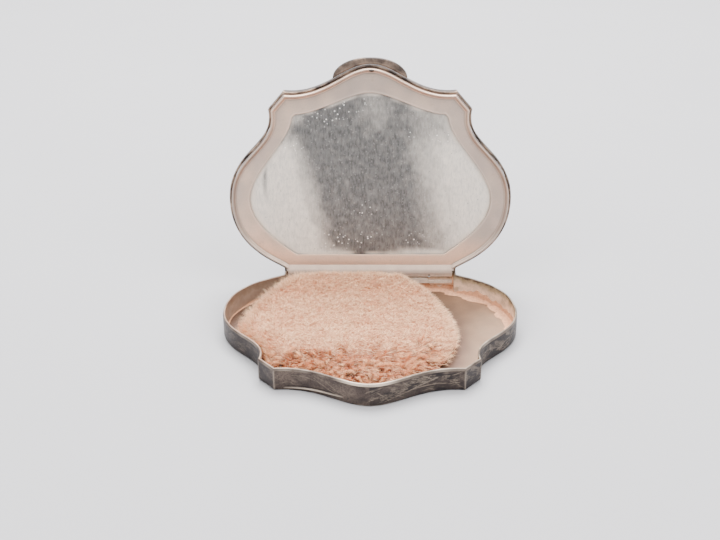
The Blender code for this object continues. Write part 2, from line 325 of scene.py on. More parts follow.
# ---- engraving: tapered strokes cut into a surface with its own (u, v) in millimetres ----
class Engraving:
    def __init__(self):
        self.strokes = []

    def stroke(self, line, width, depth=1.0):
        self.strokes.append((np.array(line, float), width, depth))

    def arc(self, start, end, bulge, width, depth=1.0, count=9):
        """A stroke bowed sideways by a share of its length."""
        start, end = np.array(start, float), np.array(end, float)
        t = np.linspace(0, 1, count)[:, None]
        side = np.array((-(end - start)[1], (end - start)[0]))
        self.stroke(start + (end - start) * t + side * bulge * 4 * t * (1 - t), width, depth)

    def leaf(self, root, angle, length, width, veins, rng, line=0.16):
        """A pointed leaf: two bowed edges, a midrib, and slanting veins."""
        along = np.array((math.cos(angle), math.sin(angle)))
        across = np.array((-along[1], along[0]))
        root = np.array(root, float)
        tip = root + along * length
        self.arc(root, tip, width / length / 2, line)
        self.arc(root, tip, -width / length / 2, line)
        self.arc(root, tip, rng.uniform(-0.04, 0.04), line * 0.8, 0.8)
        for i in range(veins):
            t = (i + 1) / (veins + 1)
            reach = 0.5 * width * 4 * t * (1 - t) * 0.95
            base = root + along * length * (t - 0.1)
            for side in (-1, 1):
                end = base + along * reach * 0.9 + across * side * reach
                self.arc(base, end, 0.08 * side, line * 0.7, 0.75, 5)

    def hatch(self, start, step, span, count, bulge, width, depth=0.8):
        """A bundle of near-parallel strokes."""
        start, step, span = map(np.array, (start, step, span))
        for i in range(count):
            fade = 1.0 - 0.35 * abs(2 * i / max(count - 1, 1) - 1)
            self.arc(start + step * i, start + step * i + span * fade, bulge, width, depth)

    def cut(self, flat):
        """How deep the strokes cut at each (u, v) point, 0 to 1."""
        deep = np.zeros(len(flat))
        order = np.argsort(flat[:, 0], kind="stable")
        sorted_u = flat[order, 0]
        for line, width, depth in self.strokes:
            lo, hi = line.min(0) - width, line.max(0) + width
            near = order[np.searchsorted(sorted_u, lo[0]):np.searchsorted(sorted_u, hi[0])]
            near = near[(flat[near, 1] > lo[1]) & (flat[near, 1] < hi[1])]
            if len(near) == 0:
                continue
            here = flat[near]
            best = np.zeros(len(near))
            for i in range(len(line) - 1):
                a, b = line[i], line[i + 1]
                span = b - a
                t = np.clip((here - a) @ span / max(span @ span, 1e-9), 0, 1)
                gap = np.linalg.norm(here - a - t[:, None] * span, axis=1)
                share = (i + t) / (len(line) - 1)
                thick = width * (0.25 + 0.75 * np.sqrt(np.clip(4 * share * (1 - share), 0, 1)))
                best = np.maximum(best, depth * np.clip(1 - (gap / thick) ** 2, 0, 1))
            deep[near] = np.maximum(deep[near], best)
        return deep


# ---- materials ----
def srgb(r, g, b):
    def linear(c):
        c /= 255.0
        return c / 12.92 if c <= 0.04045 else ((c + 0.055) / 1.055) ** 2.4
    return (linear(r), linear(g), linear(b))


class Finish:
    """A node material being wired up."""

    def __init__(self, name, metallic=0.0, roughness=0.5, **fixed):
        self.material = bpy.data.materials.new(name)
        self.material.use_nodes = True
        self.tree = self.material.node_tree
        self.shader = self.tree.nodes["Principled BSDF"]
        self.shader.inputs["Metallic"].default_value = metallic
        self.shader.inputs["Roughness"].default_value = roughness
        for socket, value in fixed.items():
            self.shader.inputs[socket.replace("_", " ")].default_value = value
        self.place = self.add("ShaderNodeTexCoord").outputs["Object"]

    def add(self, kind, **settings):
        node = self.tree.nodes.new(kind)
        for key, value in settings.items():
            setattr(node, key, value)
        return node

    def feed(self, socket, value):
        if isinstance(value, bpy.types.NodeSocket):
            self.tree.links.new(value, socket)
        elif isinstance(value, tuple) and len(value) == 3 and socket.type == "RGBA":
            socket.default_value = (*value, 1.0)
        else:
            socket.default_value = value

    def stretched(self, x, y, z):
        node = self.add("ShaderNodeMapping")
        self.feed(node.inputs["Vector"], self.place)
        node.inputs["Scale"].default_value = (x, y, z)
        return node.outputs["Vector"]

    def noise(self, size, detail=3.0, rough=0.55, vector=None, warp=0.0):
        """Noise whose lumps are about size millimetres across."""
        node = self.add("ShaderNodeTexNoise")
        self.feed(node.inputs["Vector"], self.place if vector is None else vector)
        node.inputs["Scale"].default_value = 1.0 / (size * MM)
        node.inputs["Detail"].default_value = detail
        node.inputs["Roughness"].default_value = rough
        node.inputs["Distortion"].default_value = warp
        return node.outputs["Fac"]

    def specks(self, size, vector=None):
        """Distance to the nearest of scattered points, in units of size."""
        node = self.add("ShaderNodeTexVoronoi")
        self.feed(node.inputs["Vector"], self.place if vector is None else vector)
        node.inputs["Scale"].default_value = 1.0 / (size * MM)
        return node.outputs["Distance"]

    def fade(self, value, low, high, out_low=0.0, out_high=1.0):
        node = self.add("ShaderNodeMapRange", interpolation_type="SMOOTHSTEP")
        for key, item in (("Value", value), ("From Min", low), ("From Max", high)):
            self.feed(node.inputs[key], item)
        node.inputs["To Min"].default_value = out_low
        node.inputs["To Max"].default_value = out_high
        return node.outputs["Result"]

    def math(self, operation, a, b=0.0, clamp=False):
        node = self.add("ShaderNodeMath", operation=operation, use_clamp=clamp)
        self.feed(node.inputs[0], a)
        self.feed(node.inputs[1], b)
        return node.outputs[0]

    def mix(self, factor, a, b, blend="MIX"):
        node = self.add("ShaderNodeMix", data_type="RGBA", blend_type=blend)
        self.feed(node.inputs["Factor"], factor)
        self.feed(node.inputs[6], a)
        self.feed(node.inputs[7], b)
        return node.outputs[2]

    def field(self, name):
        return self.add("ShaderNodeAttribute", attribute_name=name).outputs["Fac"]

    def axis(self, which):
        node = self.add("ShaderNodeSeparateXYZ")
        self.feed(node.inputs[0], self.place)
        return node.outputs[which]

    def bump(self, height, strength, distance=0.1):
        node = self.add("ShaderNodeBump")
        self.feed(node.inputs["Height"], height)
        node.inputs["Strength"].default_value = strength
        node.inputs["Distance"].default_value = distance * MM
        self.tree.links.new(node.outputs["Normal"], self.shader.inputs["Normal"])

    def colour(self, value):
        self.feed(self.shader.inputs["Base Color"], value)

    def rough(self, value):
        self.feed(self.shader.inputs["Roughness"], value)

    def metal(self, value):
        self.feed(self.shader.inputs["Metallic"], value)


def case_finish():
    """Dark tarnished silver, brighter where cut, where rubbed and under painted highlights and a painted
    floor reflection, darker under tarnish and painted shade; the inside keeps a powdery bloom.
    """
    f = Finish("case_silver_worn", 0.75, 0.45)
    broad = f.noise(5.0, 3.0, 0.6)
    fine = f.noise(0.4, 5.0, 0.7)
    base = f.mix(f.fade(broad, 0.35, 0.7), (0.070, 0.052, 0.045), (0.130, 0.098, 0.080))
    base = f.mix(f.fade(fine, 0.42, 0.72, 0.0, 0.8), base, (0.034, 0.026, 0.024))
    # darkened by tarnish together with painted shade
    base = f.mix(f.math("MULTIPLY", f.field("shade"), 0.85), base, (0.020, 0.017, 0.018))
    cut = f.math("MULTIPLY", f.field("engrave"), f.fade(f.noise(1.1, 3.0), 0.3, 0.6, 0.3, 1.0))
    base = f.mix(cut, base, (0.25, 0.20, 0.155))
    bloom = f.mix(f.fade(f.noise(2.6, 4.0, 0.65), 0.38, 0.62), (0.68, 0.51, 0.38), (0.92, 0.68, 0.50))
    patch = f.fade(f.noise(4.5, 4.0, 0.7, warp=0.5), 0.52, 0.66, 0.0, 0.65)
    bloom = f.mix(patch, bloom, (0.33, 0.25, 0.17))
    height = f.math("ADD", f.axis("Z"), f.fade(f.noise(2.0, 3.0), 0.2, 0.8, -0.0007, 0.0007))
    bloom = f.mix(f.fade(height, 0.0034, 0.0052), bloom, (0.38, 0.29, 0.18))
    bloom = f.mix(f.fade(height, 0.0050, 0.0060, 0.0, 0.9), bloom, (0.06, 0.04, 0.03))
    bloom = f.mix(f.fade(f.axis("X"), -0.014, -0.026, 0.0, 0.75), bloom, (0.25, 0.155, 0.11))
    base = f.mix(f.field("inner"), base, bloom)
    # lightened by wear together with painted highlights and a painted floor reflection
    worn_and_highlighted = f.math("MULTIPLY", f.field("wear"), f.fade(fine, 0.2, 0.5, 0.55, 1.0))
    f.colour(f.mix(worn_and_highlighted, base, (0.70, 0.58, 0.46)))
    f.metal(f.fade(f.field("inner"), 0.0, 1.0, 0.75, 0.3))
    f.rough(f.fade(fine, 0.3, 0.8, 0.38, 0.58))
    f.bump(fine, 0.3, 0.03)
    return f.material


def lid_edge_finish():
    """The outside of the lid: dark, rubbed back to pinkish metal in patches along its edges."""
    f = Finish("lid_silver_worn", 0.75, 0.5)
    fine = f.noise(0.45, 5.0, 0.7)
    patch = f.noise(3.4, 4.0, 0.65, warp=0.4)
    base = f.mix(f.fade(fine, 0.35, 0.7), (0.035, 0.027, 0.025), (0.065, 0.05, 0.043))
    base = f.mix(f.fade(patch, 0.52, 0.68, 0.0, 0.6), base, (0.22, 0.15, 0.11))
    cut = f.math("MULTIPLY", f.field("engrave"), f.fade(f.noise(1.6, 3.0), 0.3, 0.6, 0.25, 0.9))
    base = f.mix(cut, base, (0.26, 0.22, 0.18))
    worn_and_highlighted = f.math("MULTIPLY", f.field("wear"), f.fade(patch, 0.35, 0.6, 0.25, 1.0))
    f.colour(f.mix(worn_and_highlighted, base, (0.66, 0.48, 0.36)))
    f.rough(f.fade(fine, 0.3, 0.8, 0.42, 0.6))
    f.bump(fine, 0.25, 0.03)
    return f.material


def inner_finish(name, warm, cool, stain):
    """Satin silver inside the compact, with warm tarnish clouds and faint brush marks, darkened by dirt and
    painted shade and lightened by wear and painted highlights.
    """
    f = Finish(name, 0.6, 0.45)
    cloud = f.noise(9.0, 3.0, 0.6)
    fine = f.noise(0.35, 4.0, 0.7)
    base = f.mix(f.fade(cloud, 0.35, 0.65), warm, cool)
    base = f.mix(f.field("peach"), base, (0.93, 0.62, 0.44))
    base = f.mix(f.field("grey"), base, (0.36, 0.30, 0.26))
    base = f.mix(f.fade(f.noise(1.6, 4.0, 0.65), 0.56, 0.8, 0.0, 0.45), base, stain)
    base = f.mix(f.fade(fine, 0.35, 0.7, 0.0, 0.2), base, stain)
    # dirt together with painted shade
    base = f.mix(f.field("soil"), base, (0.095, 0.052, 0.037))
    # wear together with painted highlights
    f.colour(f.mix(f.field("wear"), base, (0.95, 0.84, 0.73)))
    f.rough(f.fade(cloud, 0.3, 0.7, 0.4, 0.52))
    f.bump(fine, 0.25, 0.02)
    return f.material


def simple_finish(name, colour_a, colour_b, size, metallic, roughness, bump=0.2):
    f = Finish(name, metallic, roughness)
    grain = f.noise(size, 4.0, 0.65)
    f.colour(f.mix(f.fade(grain, 0.3, 0.7), colour_a, colour_b))
    f.bump(grain, bump, size * 0.1)
    return f.material


def mirror_finish():
    """Old silvered glass: dark in the middle, lighter toward the sides from haze and a painted reflection of
    the room, finely speckled.
    """
    f = Finish("mirror_hazed", 0.5, 0.4)
    streak = f.noise(0.5, 5.0, 0.75, f.stretched(1.0, 0.6, 0.3))
    mottle = f.noise(2.6, 4.0, 0.65)
    base = f.mix(f.fade(streak, 0.3, 0.7), (0.078, 0.077, 0.074), (0.19, 0.187, 0.18))
    base = f.mix(f.fade(mottle, 0.42, 0.7, 0.0, 0.16), base, (0.40, 0.385, 0.36))
    # haze together with a painted reflection of the room, lighter toward the sides
    haze = f.math("MULTIPLY", f.field("haze"), f.fade(streak, 0.3, 0.62, 0.74, 1.0))
    base = f.mix(haze, base, (0.86, 0.80, 0.71))
    speck = f.fade(f.specks(1.0), 0.24, 0.15)
    speck = f.math("MULTIPLY", speck, f.field("fleck"))
    base = f.mix(speck, base, (1.0, 0.98, 0.93))
    dark = f.fade(f.specks(1.7), 0.12, 0.06, 0.0, 0.4)
    base = f.mix(dark, base, (0.05, 0.048, 0.046))
    f.colour(f.mix(f.field("edge"), base, (0.80, 0.72, 0.62)))
    f.rough(f.fade(haze, 0.0, 1.0, 0.4, 0.6))
    f.bump(streak, 0.12, 0.01)
    return f.material


def core_finish():
    """The felted ground under the pile, showing between the fibres; under the shaggy front it is painted
    nearly black as shade in the gaps between tufts.
    """
    f = Finish("puff_core", 0.0, 0.95, Sheen_Weight=0.3)
    fine = f.noise(0.5, 4.0, 0.7)
    crown = f.mix(f.fade(fine, 0.35, 0.65), (0.66, 0.30, 0.15), (0.36, 0.12, 0.045))
    # painted shade in the deep gaps between the front tufts
    front = f.mix(f.fade(fine, 0.4, 0.65), (0.30, 0.09, 0.03), (0.12, 0.03, 0.012))
    f.colour(f.mix(f.field("front"), crown, front))
    f.bump(fine, 0.8, 0.2)
    return f.material


def pile_finish(name, root, pale, deep):
    """Fibres: each strand has its own tint, with painted shade darkening it down toward the root."""
    f = Finish(name, 0.0, 0.8, Sheen_Weight=0.2, Sheen_Roughness=0.5)
    strand = f.mix(f.field("tint"), pale, deep)
    patch = f.noise(4.0, 3.0, 0.6)
    strand = f.mix(f.fade(patch, 0.45, 0.75, 0.0, 0.3), strand, deep)
    # painted shade: the root colour darkens each strand toward its root, deep in the pile
    f.colour(f.mix(f.fade(f.field("tip"), 0.05, 0.7), root, strand))
    return f.material


CASE_SILVER = case_finish()
LID_SILVER = lid_edge_finish()
FRAME_SILVER = inner_finish("frame_silver", (0.69, 0.52, 0.41), (0.55, 0.44, 0.37), (0.40, 0.29, 0.22))
TRAY_SILVER = inner_finish("tray_silver", (0.29, 0.18, 0.113), (0.25, 0.162, 0.104), (0.18, 0.11, 0.072))
HINGE_SILVER = simple_finish("hinge_silver", (0.78, 0.63, 0.51), (0.60, 0.47, 0.37), 0.6, 0.3, 0.5)
PIN_STEEL = simple_finish("pin_steel", srgb(92, 80, 72), srgb(66, 56, 50), 0.4, 0.6, 0.6)
CARD = simple_finish("card_brown", srgb(150, 120, 86), srgb(112, 88, 62), 1.2, 0.0, 0.9)
MIRROR = mirror_finish()
FABRIC = simple_finish("puff_cloth", (0.66, 0.34, 0.22), (0.46, 0.21, 0.13), 0.5, 0.0, 0.9, 0.6)
POWDER = simple_finish("powder_cake", (0.66, 0.34, 0.19), (0.46, 0.23, 0.13), 0.6, 0.0, 0.95, 0.9)
CORE = core_finish()
# the first colour of each is painted shade at the fibre roots
PILE_TOP = pile_finish("pile_top", (0.50, 0.17, 0.065), (1.0, 0.68, 0.40), (0.48, 0.12, 0.035))
PILE_FRONT = pile_finish("pile_front", (0.20, 0.05, 0.016), (1.0, 0.56, 0.28), (0.55, 0.14, 0.035))


# ---- case: tray wall, floor, lid wall, panel, lip ----
def along_loop(flat, counts):
    """Distance round the loop from the front centre, positive to the right, for each column."""
    step = np.linalg.norm(np.roll(flat, -1, 0) - flat, axis=1)
    reach = np.concatenate([[0.0], np.cumsum(step)[:-1]])
    total = step.sum()
    front = sum(counts[:3]) + counts[3] // 2
    at = reach[front] - reach
    return (at + total / 2) % total - total / 2


def wall_design(rng):
    """Graver strokes round a wall: flowing bundles, leaves and loose scratches, fullest on the right."""
    art = Engraving()
    for s in np.arange(-WALL_HALF_ROUND, WALL_HALF_ROUND, 2.6):
        quiet = 0.4 if QUIET_FROM < s < QUIET_TO else 1.0
        if rng.uniform() > 0.3 + 0.7 * quiet:
            continue
        rise = rng.uniform(0.08, 0.45) * (1 if rng.uniform() < 0.7 else -1)
        z = rng.uniform(1.1, 3.6) if rise > 0 else rng.uniform(2.6, 4.9)
        span = rng.uniform(2.2, 4.6)
        step = (rng.uniform(-0.12, 0.2), rng.uniform(0.3, 0.45))
        lines = int(rng.integers(3, 6))
        art.hatch((s, z), step, (span, span * rise), lines, rng.uniform(-0.09, 0.09), 0.1, 0.95 * quiet)
    for s in (-104.0, -92.0, -78.0, -66.0, 33.0, 44.0, 56.0, 70.0, 84.0, 98.0):
        art.leaf((s, 1.4), rng.uniform(0.15, 0.4), rng.uniform(6.0, 9.0), 1.9, 4, rng, 0.13)
    art.arc((3.5, 0.9), (21.0, 2.0), 0.05, 0.14, 1.0, 15)
    art.hatch((9.0, 2.0), (0.7, 0.16), (5.2, 1.4), 9, -0.05, 0.1, 0.9)
    art.hatch((3.0, 1.6), (0.9, 0.3), (3.4, -0.7), 6, 0.05, 0.1, 0.8)
    slants = ((11.0, 5.2, 4.4, -2.6), (13.5, 5.4, 3.2, -2.2), (1.4, 4.0, 2.6, -2.2))
    slants += ((40.0, 4.6, 1.5, -2.4), (47.0, 5.1, 2.4, -1.6))
    for s, z, run, drop in slants:
        art.arc((s, z), (s + run, z + drop), 0.02, 0.1, 1.0)
    art.arc((-37.5, 5.3), (-34.6, 1.6), 0.02, 0.12, 1.0)
    art.arc((-14.5, 4.6), (-6.8, 1.5), -0.07, 0.12, 0.7, 13)
    art.arc((-12.0, 4.9), (-5.4, 1.9), -0.06, 0.1, 0.7, 13)
    art.arc((-20.0, 4.3), (-10.5, 2.6), 0.06, 0.12, 0.5, 13)
    for _ in range(90):
        s = rng.uniform(-WALL_HALF_ROUND, WALL_HALF_ROUND)
        if -60 < s < 0 and rng.uniform() < 0.6:
            continue
        span = rng.uniform(0.8, 3.0)
        z = rng.uniform(0.9, 5.0)
        art.arc((s, z), (s + span, z + span * rng.uniform(-0.7, 0.7)), rng.uniform(-0.1, 0.1), 0.08, 0.8)
    return art


def wear_on_corners(flat, counts, size):
    """1 at the vertical creases of the outline, fading within size."""
    marks = np.cumsum([0, *counts[:-1]])
    worn_and_highlighted = np.zeros(len(flat))
    for m in marks[1:7]:
        worn_and_highlighted = np.maximum(worn_and_highlighted, np.exp(-((np.linalg.norm(flat - flat[m], axis=1) / size) ** 2)))
    return worn_and_highlighted


def wall_grain(s, z):
    """Fine strokes that follow wavy bundles round the wall, faint on the left of the front."""
    flow = z - 1.3 * np.sin(s / 3.7 + 0.6) - 0.6 * np.sin(s / 1.9)
    fine = waves(np.stack([s * 0.16, flow], 1), 0.55, 12, 40)
    fine = fine + 0.6 * waves(np.stack([s * 0.2, flow], 1), 1.4, 13)
    strength = np.where((s < QUIET_TO) & (s > QUIET_FROM), 0.3, 0.55)
    strength = strength * smooth(waves(np.stack([s, z], 1), 3.5, 14), -1.0, 0.4)
    return smooth(fine, 0.35, 1.5) * strength * smooth(z, 0.5, 1.2) * smooth(-z, -5.5, -4.9)


def wall_shade(s, z):
    """How dark the wall is painted, 0 to 1: tarnish clouds and blotches, painted shade that darkens the
    flanks, and the right half darker.
    """
    place = np.stack([s, z * 1.6], 1)
    cloud = smooth(waves(place, 4.5, 15), 0.2, 1.1)
    spots = ((11.6, 3.6, 1.3), (4.2, 2.6, 1.3), (0.5, 4.6, 1.4), (17.5, 4.6, 1.4), (36.5, 4.0, 1.4))
    spots += ((-13.5, 3.7, 1.6), (-20.5, 1.3, 1.2))
    for at, high, wide in spots:
        cloud = np.maximum(cloud, np.exp(-(((s - at) / wide) ** 2) - ((z - high) / 0.9) ** 2))
    cloud = cloud * np.where((s < 0) & (s > -60), 0.35, 1.0)
    # painted shade on the flanks, as if lit mostly from above; the right half is painted darker as well
    return np.clip(cloud + 0.85 * smooth(np.abs(s), 22.0, 28.0) + 0.5 * (s > 0), 0, 1)


def wall_ridge(s, z):
    """A long raised ridge with a groove above it, low on the left of the front; the wall paints a highlight
    along the ridge and shade in the groove.
    """
    start, end = -22.0, -6.5
    share = np.clip((s - start) / (end - start), 0, 1)
    taper = np.sqrt(np.clip(4 * share * (1 - share), 0, 1))
    middle = 0.72 + 0.75 * share
    ridge = taper * np.exp(-(((z - middle) / 0.15) ** 2))
    groove = taper * np.exp(-(((z - middle - 0.42) / 0.2) ** 2))
    return ridge, groove


def tray_section():
    """The tray wall as (depth from the outside, height): outside, rounded rim, inside."""
    top = BASE_HEIGHT
    outer = [(0.55, 0.0), (0.38, 0.03), (0.25, 0.08), (0.14, 0.18), (0.06, 0.32), (0.02, 0.5)]
    outer += [(0.0, z) for z in np.linspace(0.7, top - 0.7, 32)]
    rim = [(0.01, 0.6), (0.03, 0.45), (0.06, 0.3), (0.1, 0.18), (0.16, 0.08), (0.24, 0.02)]
    rim += [(0.3, 0.0), (0.42, 0.0), (0.5, 0.02), (0.56, 0.08), (BASE_SHEET, 0.2)]
    rim = [(w, top - drop) for w, drop in rim]
    inner = [(BASE_SHEET, z) for z in np.linspace(top - 0.5, 0.1, 24)]
    inner += [(BASE_SHEET - 0.03, 0.0), (0.57, 0.0)]
    return outer, rim, inner


def build_base_wall():
    """The tray's engraved side wall, with its rolled rim and the step down for the hinge."""
    counts = counts_for(CASE, 0.22)
    outline = inset(CASE, 0.0, counts)
    deeper = (inset(CASE, 0.4, counts) - outline) / 0.4
    s = along_loop(outline, counts)
    top, low = BASE_HEIGHT, 3.2
    outer, rim, inner = tray_section()
    art = wall_design(np.random.default_rng(11))
    front = np.exp(-(((s + 0.5) / 7.0) ** 4))
    crease = wear_on_corners(outline, counts, 0.2)
    cut_here = smooth(HINGE_CUT_HALF - np.abs(outline[:, 0]), -0.01, 0.12) * (outline[:, 1] < 0.5)
    rim_wear = np.clip(0.10 + 0.85 * front + 0.14 * waves(outline, 5.0, 8), 0, 1)
    # painted reflection of the pale floor in the rounded foot of the front wall
    foot_floor_reflection = 0.55 * front * (0.5 + 0.5 * waves(outline, 4.0, 18))
    wall = Loft("engrave", "wear", "inner", "shade")
    for i, (w, z) in enumerate(outer + rim + inner):
        on_outer = i < len(outer)
        on_rim = len(outer) <= i < len(outer) + len(rim) - 1
        flat = inset(CASE, w, counts)
        level = np.full(len(s), z)
        if top - 0.7 < z and w < 0.3:
            flat = flat + deeper * (front * (0.28 - w) * 0.6)[:, None]
        cut_z = np.where(z > low, low + (z - low) * (HINGE_Z - HINGE_CUT - low) / (top - low), z)
        height = level * (1 - cut_here) + cut_z * cut_here
        bright = crease * (0.3 if on_outer else 0.1)
        engrave, shade = 0.0, 0.0
        if on_outer:
            deep = art.cut(np.stack([s, level], 1))
            grain = wall_grain(s, level)
            ridge, groove = wall_ridge(s, level)
            # painted highlight along the top of the raised ridge
            bright = bright + ridge * 0.9
            engrave = np.maximum(deep, grain)
            # painted shade in the groove above the ridge, added to the tarnish and painted shade of the wall
            shade = np.clip(wall_shade(s, level) + groove * 0.8, 0, 1)
        if on_outer and w == 0.0:
            dents = np.clip(waves(np.stack([s, height * 1.4], 1), 9.0, 3) * 0.035, -0.02, 0.06)
            sunk = 0.045 * deep + 0.03 * grain + dents + 0.12 * groove - 0.16 * ridge
            flat = flat + deeper * sunk[:, None]
        if on_rim:
            bright = np.maximum(bright, rim_wear)
        if z < 0.5 and on_outer:
            bright = np.maximum(bright, foot_floor_reflection)
        inside = float(i >= len(outer) + 5)
        wear = np.clip(bright, 0, 1)
        wall.add(tray_points(flat, height), engrave=engrave, wear=wear, inner=inside, shade=shade)
    wall.ring("tray_wall", "base", "case_silver", CASE_SILVER, ["base_wall"])


def build_floor():
    """The tray floor, very slightly dished and rippled, darkened beside the puff by powder dust and painted
    shade, and darker on the left.
    """
    rim = inset(CASE, BASE_SHEET + FIT_GAP, counts_for(CASE, 0.5))
    middle = np.array((0.0, 28.0))
    floor = Loft("wear", "soil", "peach", "grey")
    for k in (0.3, 0.7, 0.97):
        floor.add(tray_points(middle + (rim - middle) * k, 0.02))
    for z in (0.1, 0.3, FLOOR_THICK - 0.08):
        floor.add(tray_points(rim, z))
    for k in (0.997, 0.99, 0.98, *np.linspace(0.96, 0.05, 46)):
        flat = middle + (rim - middle) * k
        away = np.maximum(np.linalg.norm(flat - np.array(PUFF_CENTRE), axis=1) - PUFF_R, 0)
        # powder dust together with painted shade where the floor meets the puff
        puff_dust_and_shade = 1.0 * np.exp(-((away / 4.5) ** 2))
        puff_dust_and_shade = puff_dust_and_shade + 0.35 * np.exp(-(((flat[:, 0] - 26) / 5) ** 2) - ((flat[:, 1] - 10) / 8) ** 2)
        near = np.clip(puff_dust_and_shade + 0.6 * (flat[:, 0] < -20) + 0.08 * waves(flat, 5.0, 29), 0, 1)
        floor.add(tray_points(flat, FLOOR_THICK - 0.02 + 0.015 * waves(flat, 14.0, 5)), soil=0.9 * near)
    floor.solid("tray_floor", "base", "inner_silver", TRAY_SILVER, ["base_floor"], soil=0.9 * near[0])


def build_lid_wall():
    """The lid's engraved side wall, cut back over the hinge."""
    counts = counts_for(CASE, 0.25)
    outline = inset(CASE, 0.0, counts)
    deeper = (inset(CASE, 0.4, counts) - outline) / 0.4
    s = along_loop(outline, counts)
    low, top = LID_MOUTH, LID_TOP
    outer = [(0.3, low), (0.12, low + 0.01), (0.04, low + 0.06), (0.0, low + 0.15)]
    outer += [(0.0, h) for h in np.linspace(low + 0.3, top - 0.75, 12)]
    bend = ((0.03, 0.5), (0.08, 0.32), (0.17, 0.16), (0.3, 0.06), (0.45, 0.01))
    outer += [(w, top - drop) for w, drop in bend]
    inner = [(BASE_SHEET, top)]
    inner += [(BASE_SHEET, h) for h in np.linspace(top - 0.3, low + 0.05, 8)]
    inner += [(0.56, low)]
    art = wall_design(np.random.default_rng(12))
    crease = wear_on_corners(outline, counts, 0.3)
    lifted = (np.abs(outline[:, 0]) < LID_CUT_HALF) & (outline[:, 1] < LID_CUT_D)
    wall = Loft("engrave", "wear")
    for w, h in outer + inner:
        flat = inset(CASE, w, counts)
        height = np.where(lifted, LID_REAR_CUT + (h - low) * (top - LID_REAR_CUT) / (top - low), h)
        deep = 0.0
        if w == 0.0:
            deep = art.cut(np.stack([s, np.full(len(s), h)], 1))
            flat = flat + deeper * (0.05 * deep)[:, None]
        lip_edge = 0.35 + 0.35 * waves(outline, 7.0, 4) if h < low + 0.1 else 0.0
        wear = np.clip(np.maximum(crease * 0.7, lip_edge), 0, 1)
        wall.add(lid_points(flat, height), engrave=deep, wear=wear)
    wall.ring("cover_wall", "lid", "case_silver", LID_SILVER, ["lid_wall"])


def panel_design(rng):
    """A quiet generic cover: a double border inside the edge and leafy sprays about a plain centre."""
    art = Engraving()
    for side in (-1, 1):
        for i in range(7):
            t = i / 6
            root = (side * (6 + 20 * t), 14 + 30 * t - 16 * t * t)
            angle = (math.pi / 2 - side * (0.5 + 0.9 * t)) + rng.uniform(-0.15, 0.15)
            art.leaf(root, angle, 8.5 - 2.0 * t, 3.0, 6, rng, 0.24)
            art.leaf(root, angle + side * 0.9, 6.5 - 1.5 * t, 2.4, 5, rng, 0.22)
        art.arc((side * 4, 11), (side * 29, 26), side * -0.22, 0.3)
        art.arc((side * 6, 42), (side * 27, 30), side * 0.2, 0.3)
        for i in range(5):
            t = i / 4
            root = (side * (7 + 17 * t), 42 - 10 * t)
            art.leaf(root, math.pi / 2 + side * (-0.9 - 0.3 * t), 6.0, 2.2, 5, rng, 0.22)
    return art


def build_lid_panel():
    """The lid's low domed cover, with two engraved border lines."""
    rim = inset(CASE, BASE_SHEET + FIT_GAP, counts_for(CASE, 0.36))
    middle = np.array((0.0, 0.5 * (BACK_D + FRONT_D) - 2.0))
    rise = LID_CROWN - LID_TOP
    art = panel_design(np.random.default_rng(13))
    panel = Loft("engrave", "wear")
    for k in (0.06, 0.25, 0.55, 0.8, 0.95):
        panel.add(lid_points(middle + (rim - middle) * k, LID_TOP - 0.6 + rise * (1 - k**2)))
    for drop in (0.58, 0.4, 0.1):
        panel.add(lid_points(rim, LID_TOP - drop))
    for k in np.linspace(0.998, 0.03, 104):
        flat = middle + (rim - middle) * k
        deep = art.cut(flat)
        for border in (0.93, 0.9):
            deep = np.maximum(deep, max(0.0, 1 - ((k - border) / 0.0055) ** 2))
        height = LID_TOP + rise * (1 - k**2) - (0.05 if k > 0.99 else 0.0)
        panel.add(lid_points(flat, height - 0.06 * deep), engrave=deep)
    panel.solid("cover_panel", "lid", "case_silver", LID_SILVER, ["lid_panel"])


def front_depth(x):
    front = CASE[3]
    order = np.argsort(front[:, 0])
    return np.interp(x, front[order, 0], front[order, 1])


def lip_depth(x):
    """The outer edge of the thumb piece: half an ellipse whose ends land on the outline."""
    arc = LIP_FOOT + LIP_RISE * np.maximum(1 - np.abs(x / LIP_HALF) ** 2.2, 0.0) ** 0.56
    return np.maximum(arc, front_depth(x) + FIT_GAP + 0.2)


def build_thumb_lip():
    """The crescent thumb piece: soldered against the lid wall, its edge rounded over."""
    x = LIP_HALF * np.sin(math.pi * (np.linspace(0, 1, 121) - 0.5))
    near = front_depth(x) + FIT_GAP
    far = lip_depth(x)
    low, high = LID_MOUTH + 0.1, LID_MOUTH + 1.1
    half = 0.5 * (high - low)
    b = np.minimum(half, 0.6 * (far - near))
    turns = np.linspace(-math.pi / 2, math.pi / 2, 13)
    edges = [(near, low + 0.02)]
    edges += [(near + (far - b - near) * share, low + 0.01) for share in (0.3, 0.6)]
    edges += [(far - b + b * np.cos(a), low + half + half * math.sin(a)) for a in turns]
    edges += [(near, high - 0.02)]
    stack = np.stack([lid_points(np.stack([x, d], 1), h) for d, h in edges], 1)
    under = 0.4 * (1 - smooth(turns, -1.5, -0.9))
    worn_and_highlighted = np.concatenate([[0.34, 0.3, 0.22], 0.5 * under, [0]])
    lip = Loft("engrave", "wear")
    for points in stack:
        lip.add(points, wear=worn_and_highlighted)
    lip.solid("thumb_piece", "lid", "case_silver", LID_SILVER, ["thumb_lip"])


# ---- lid inside: mirror frame and mirror ----
def frame_ring(w, counts):
    """The outline moved in by w, kept off the hinge at the back."""
    flat = inset(CASE, w, counts)
    flat[:, 1] = np.maximum(flat[:, 1], FRAME_BACK_D + w - FRAME_INSET)
    return flat


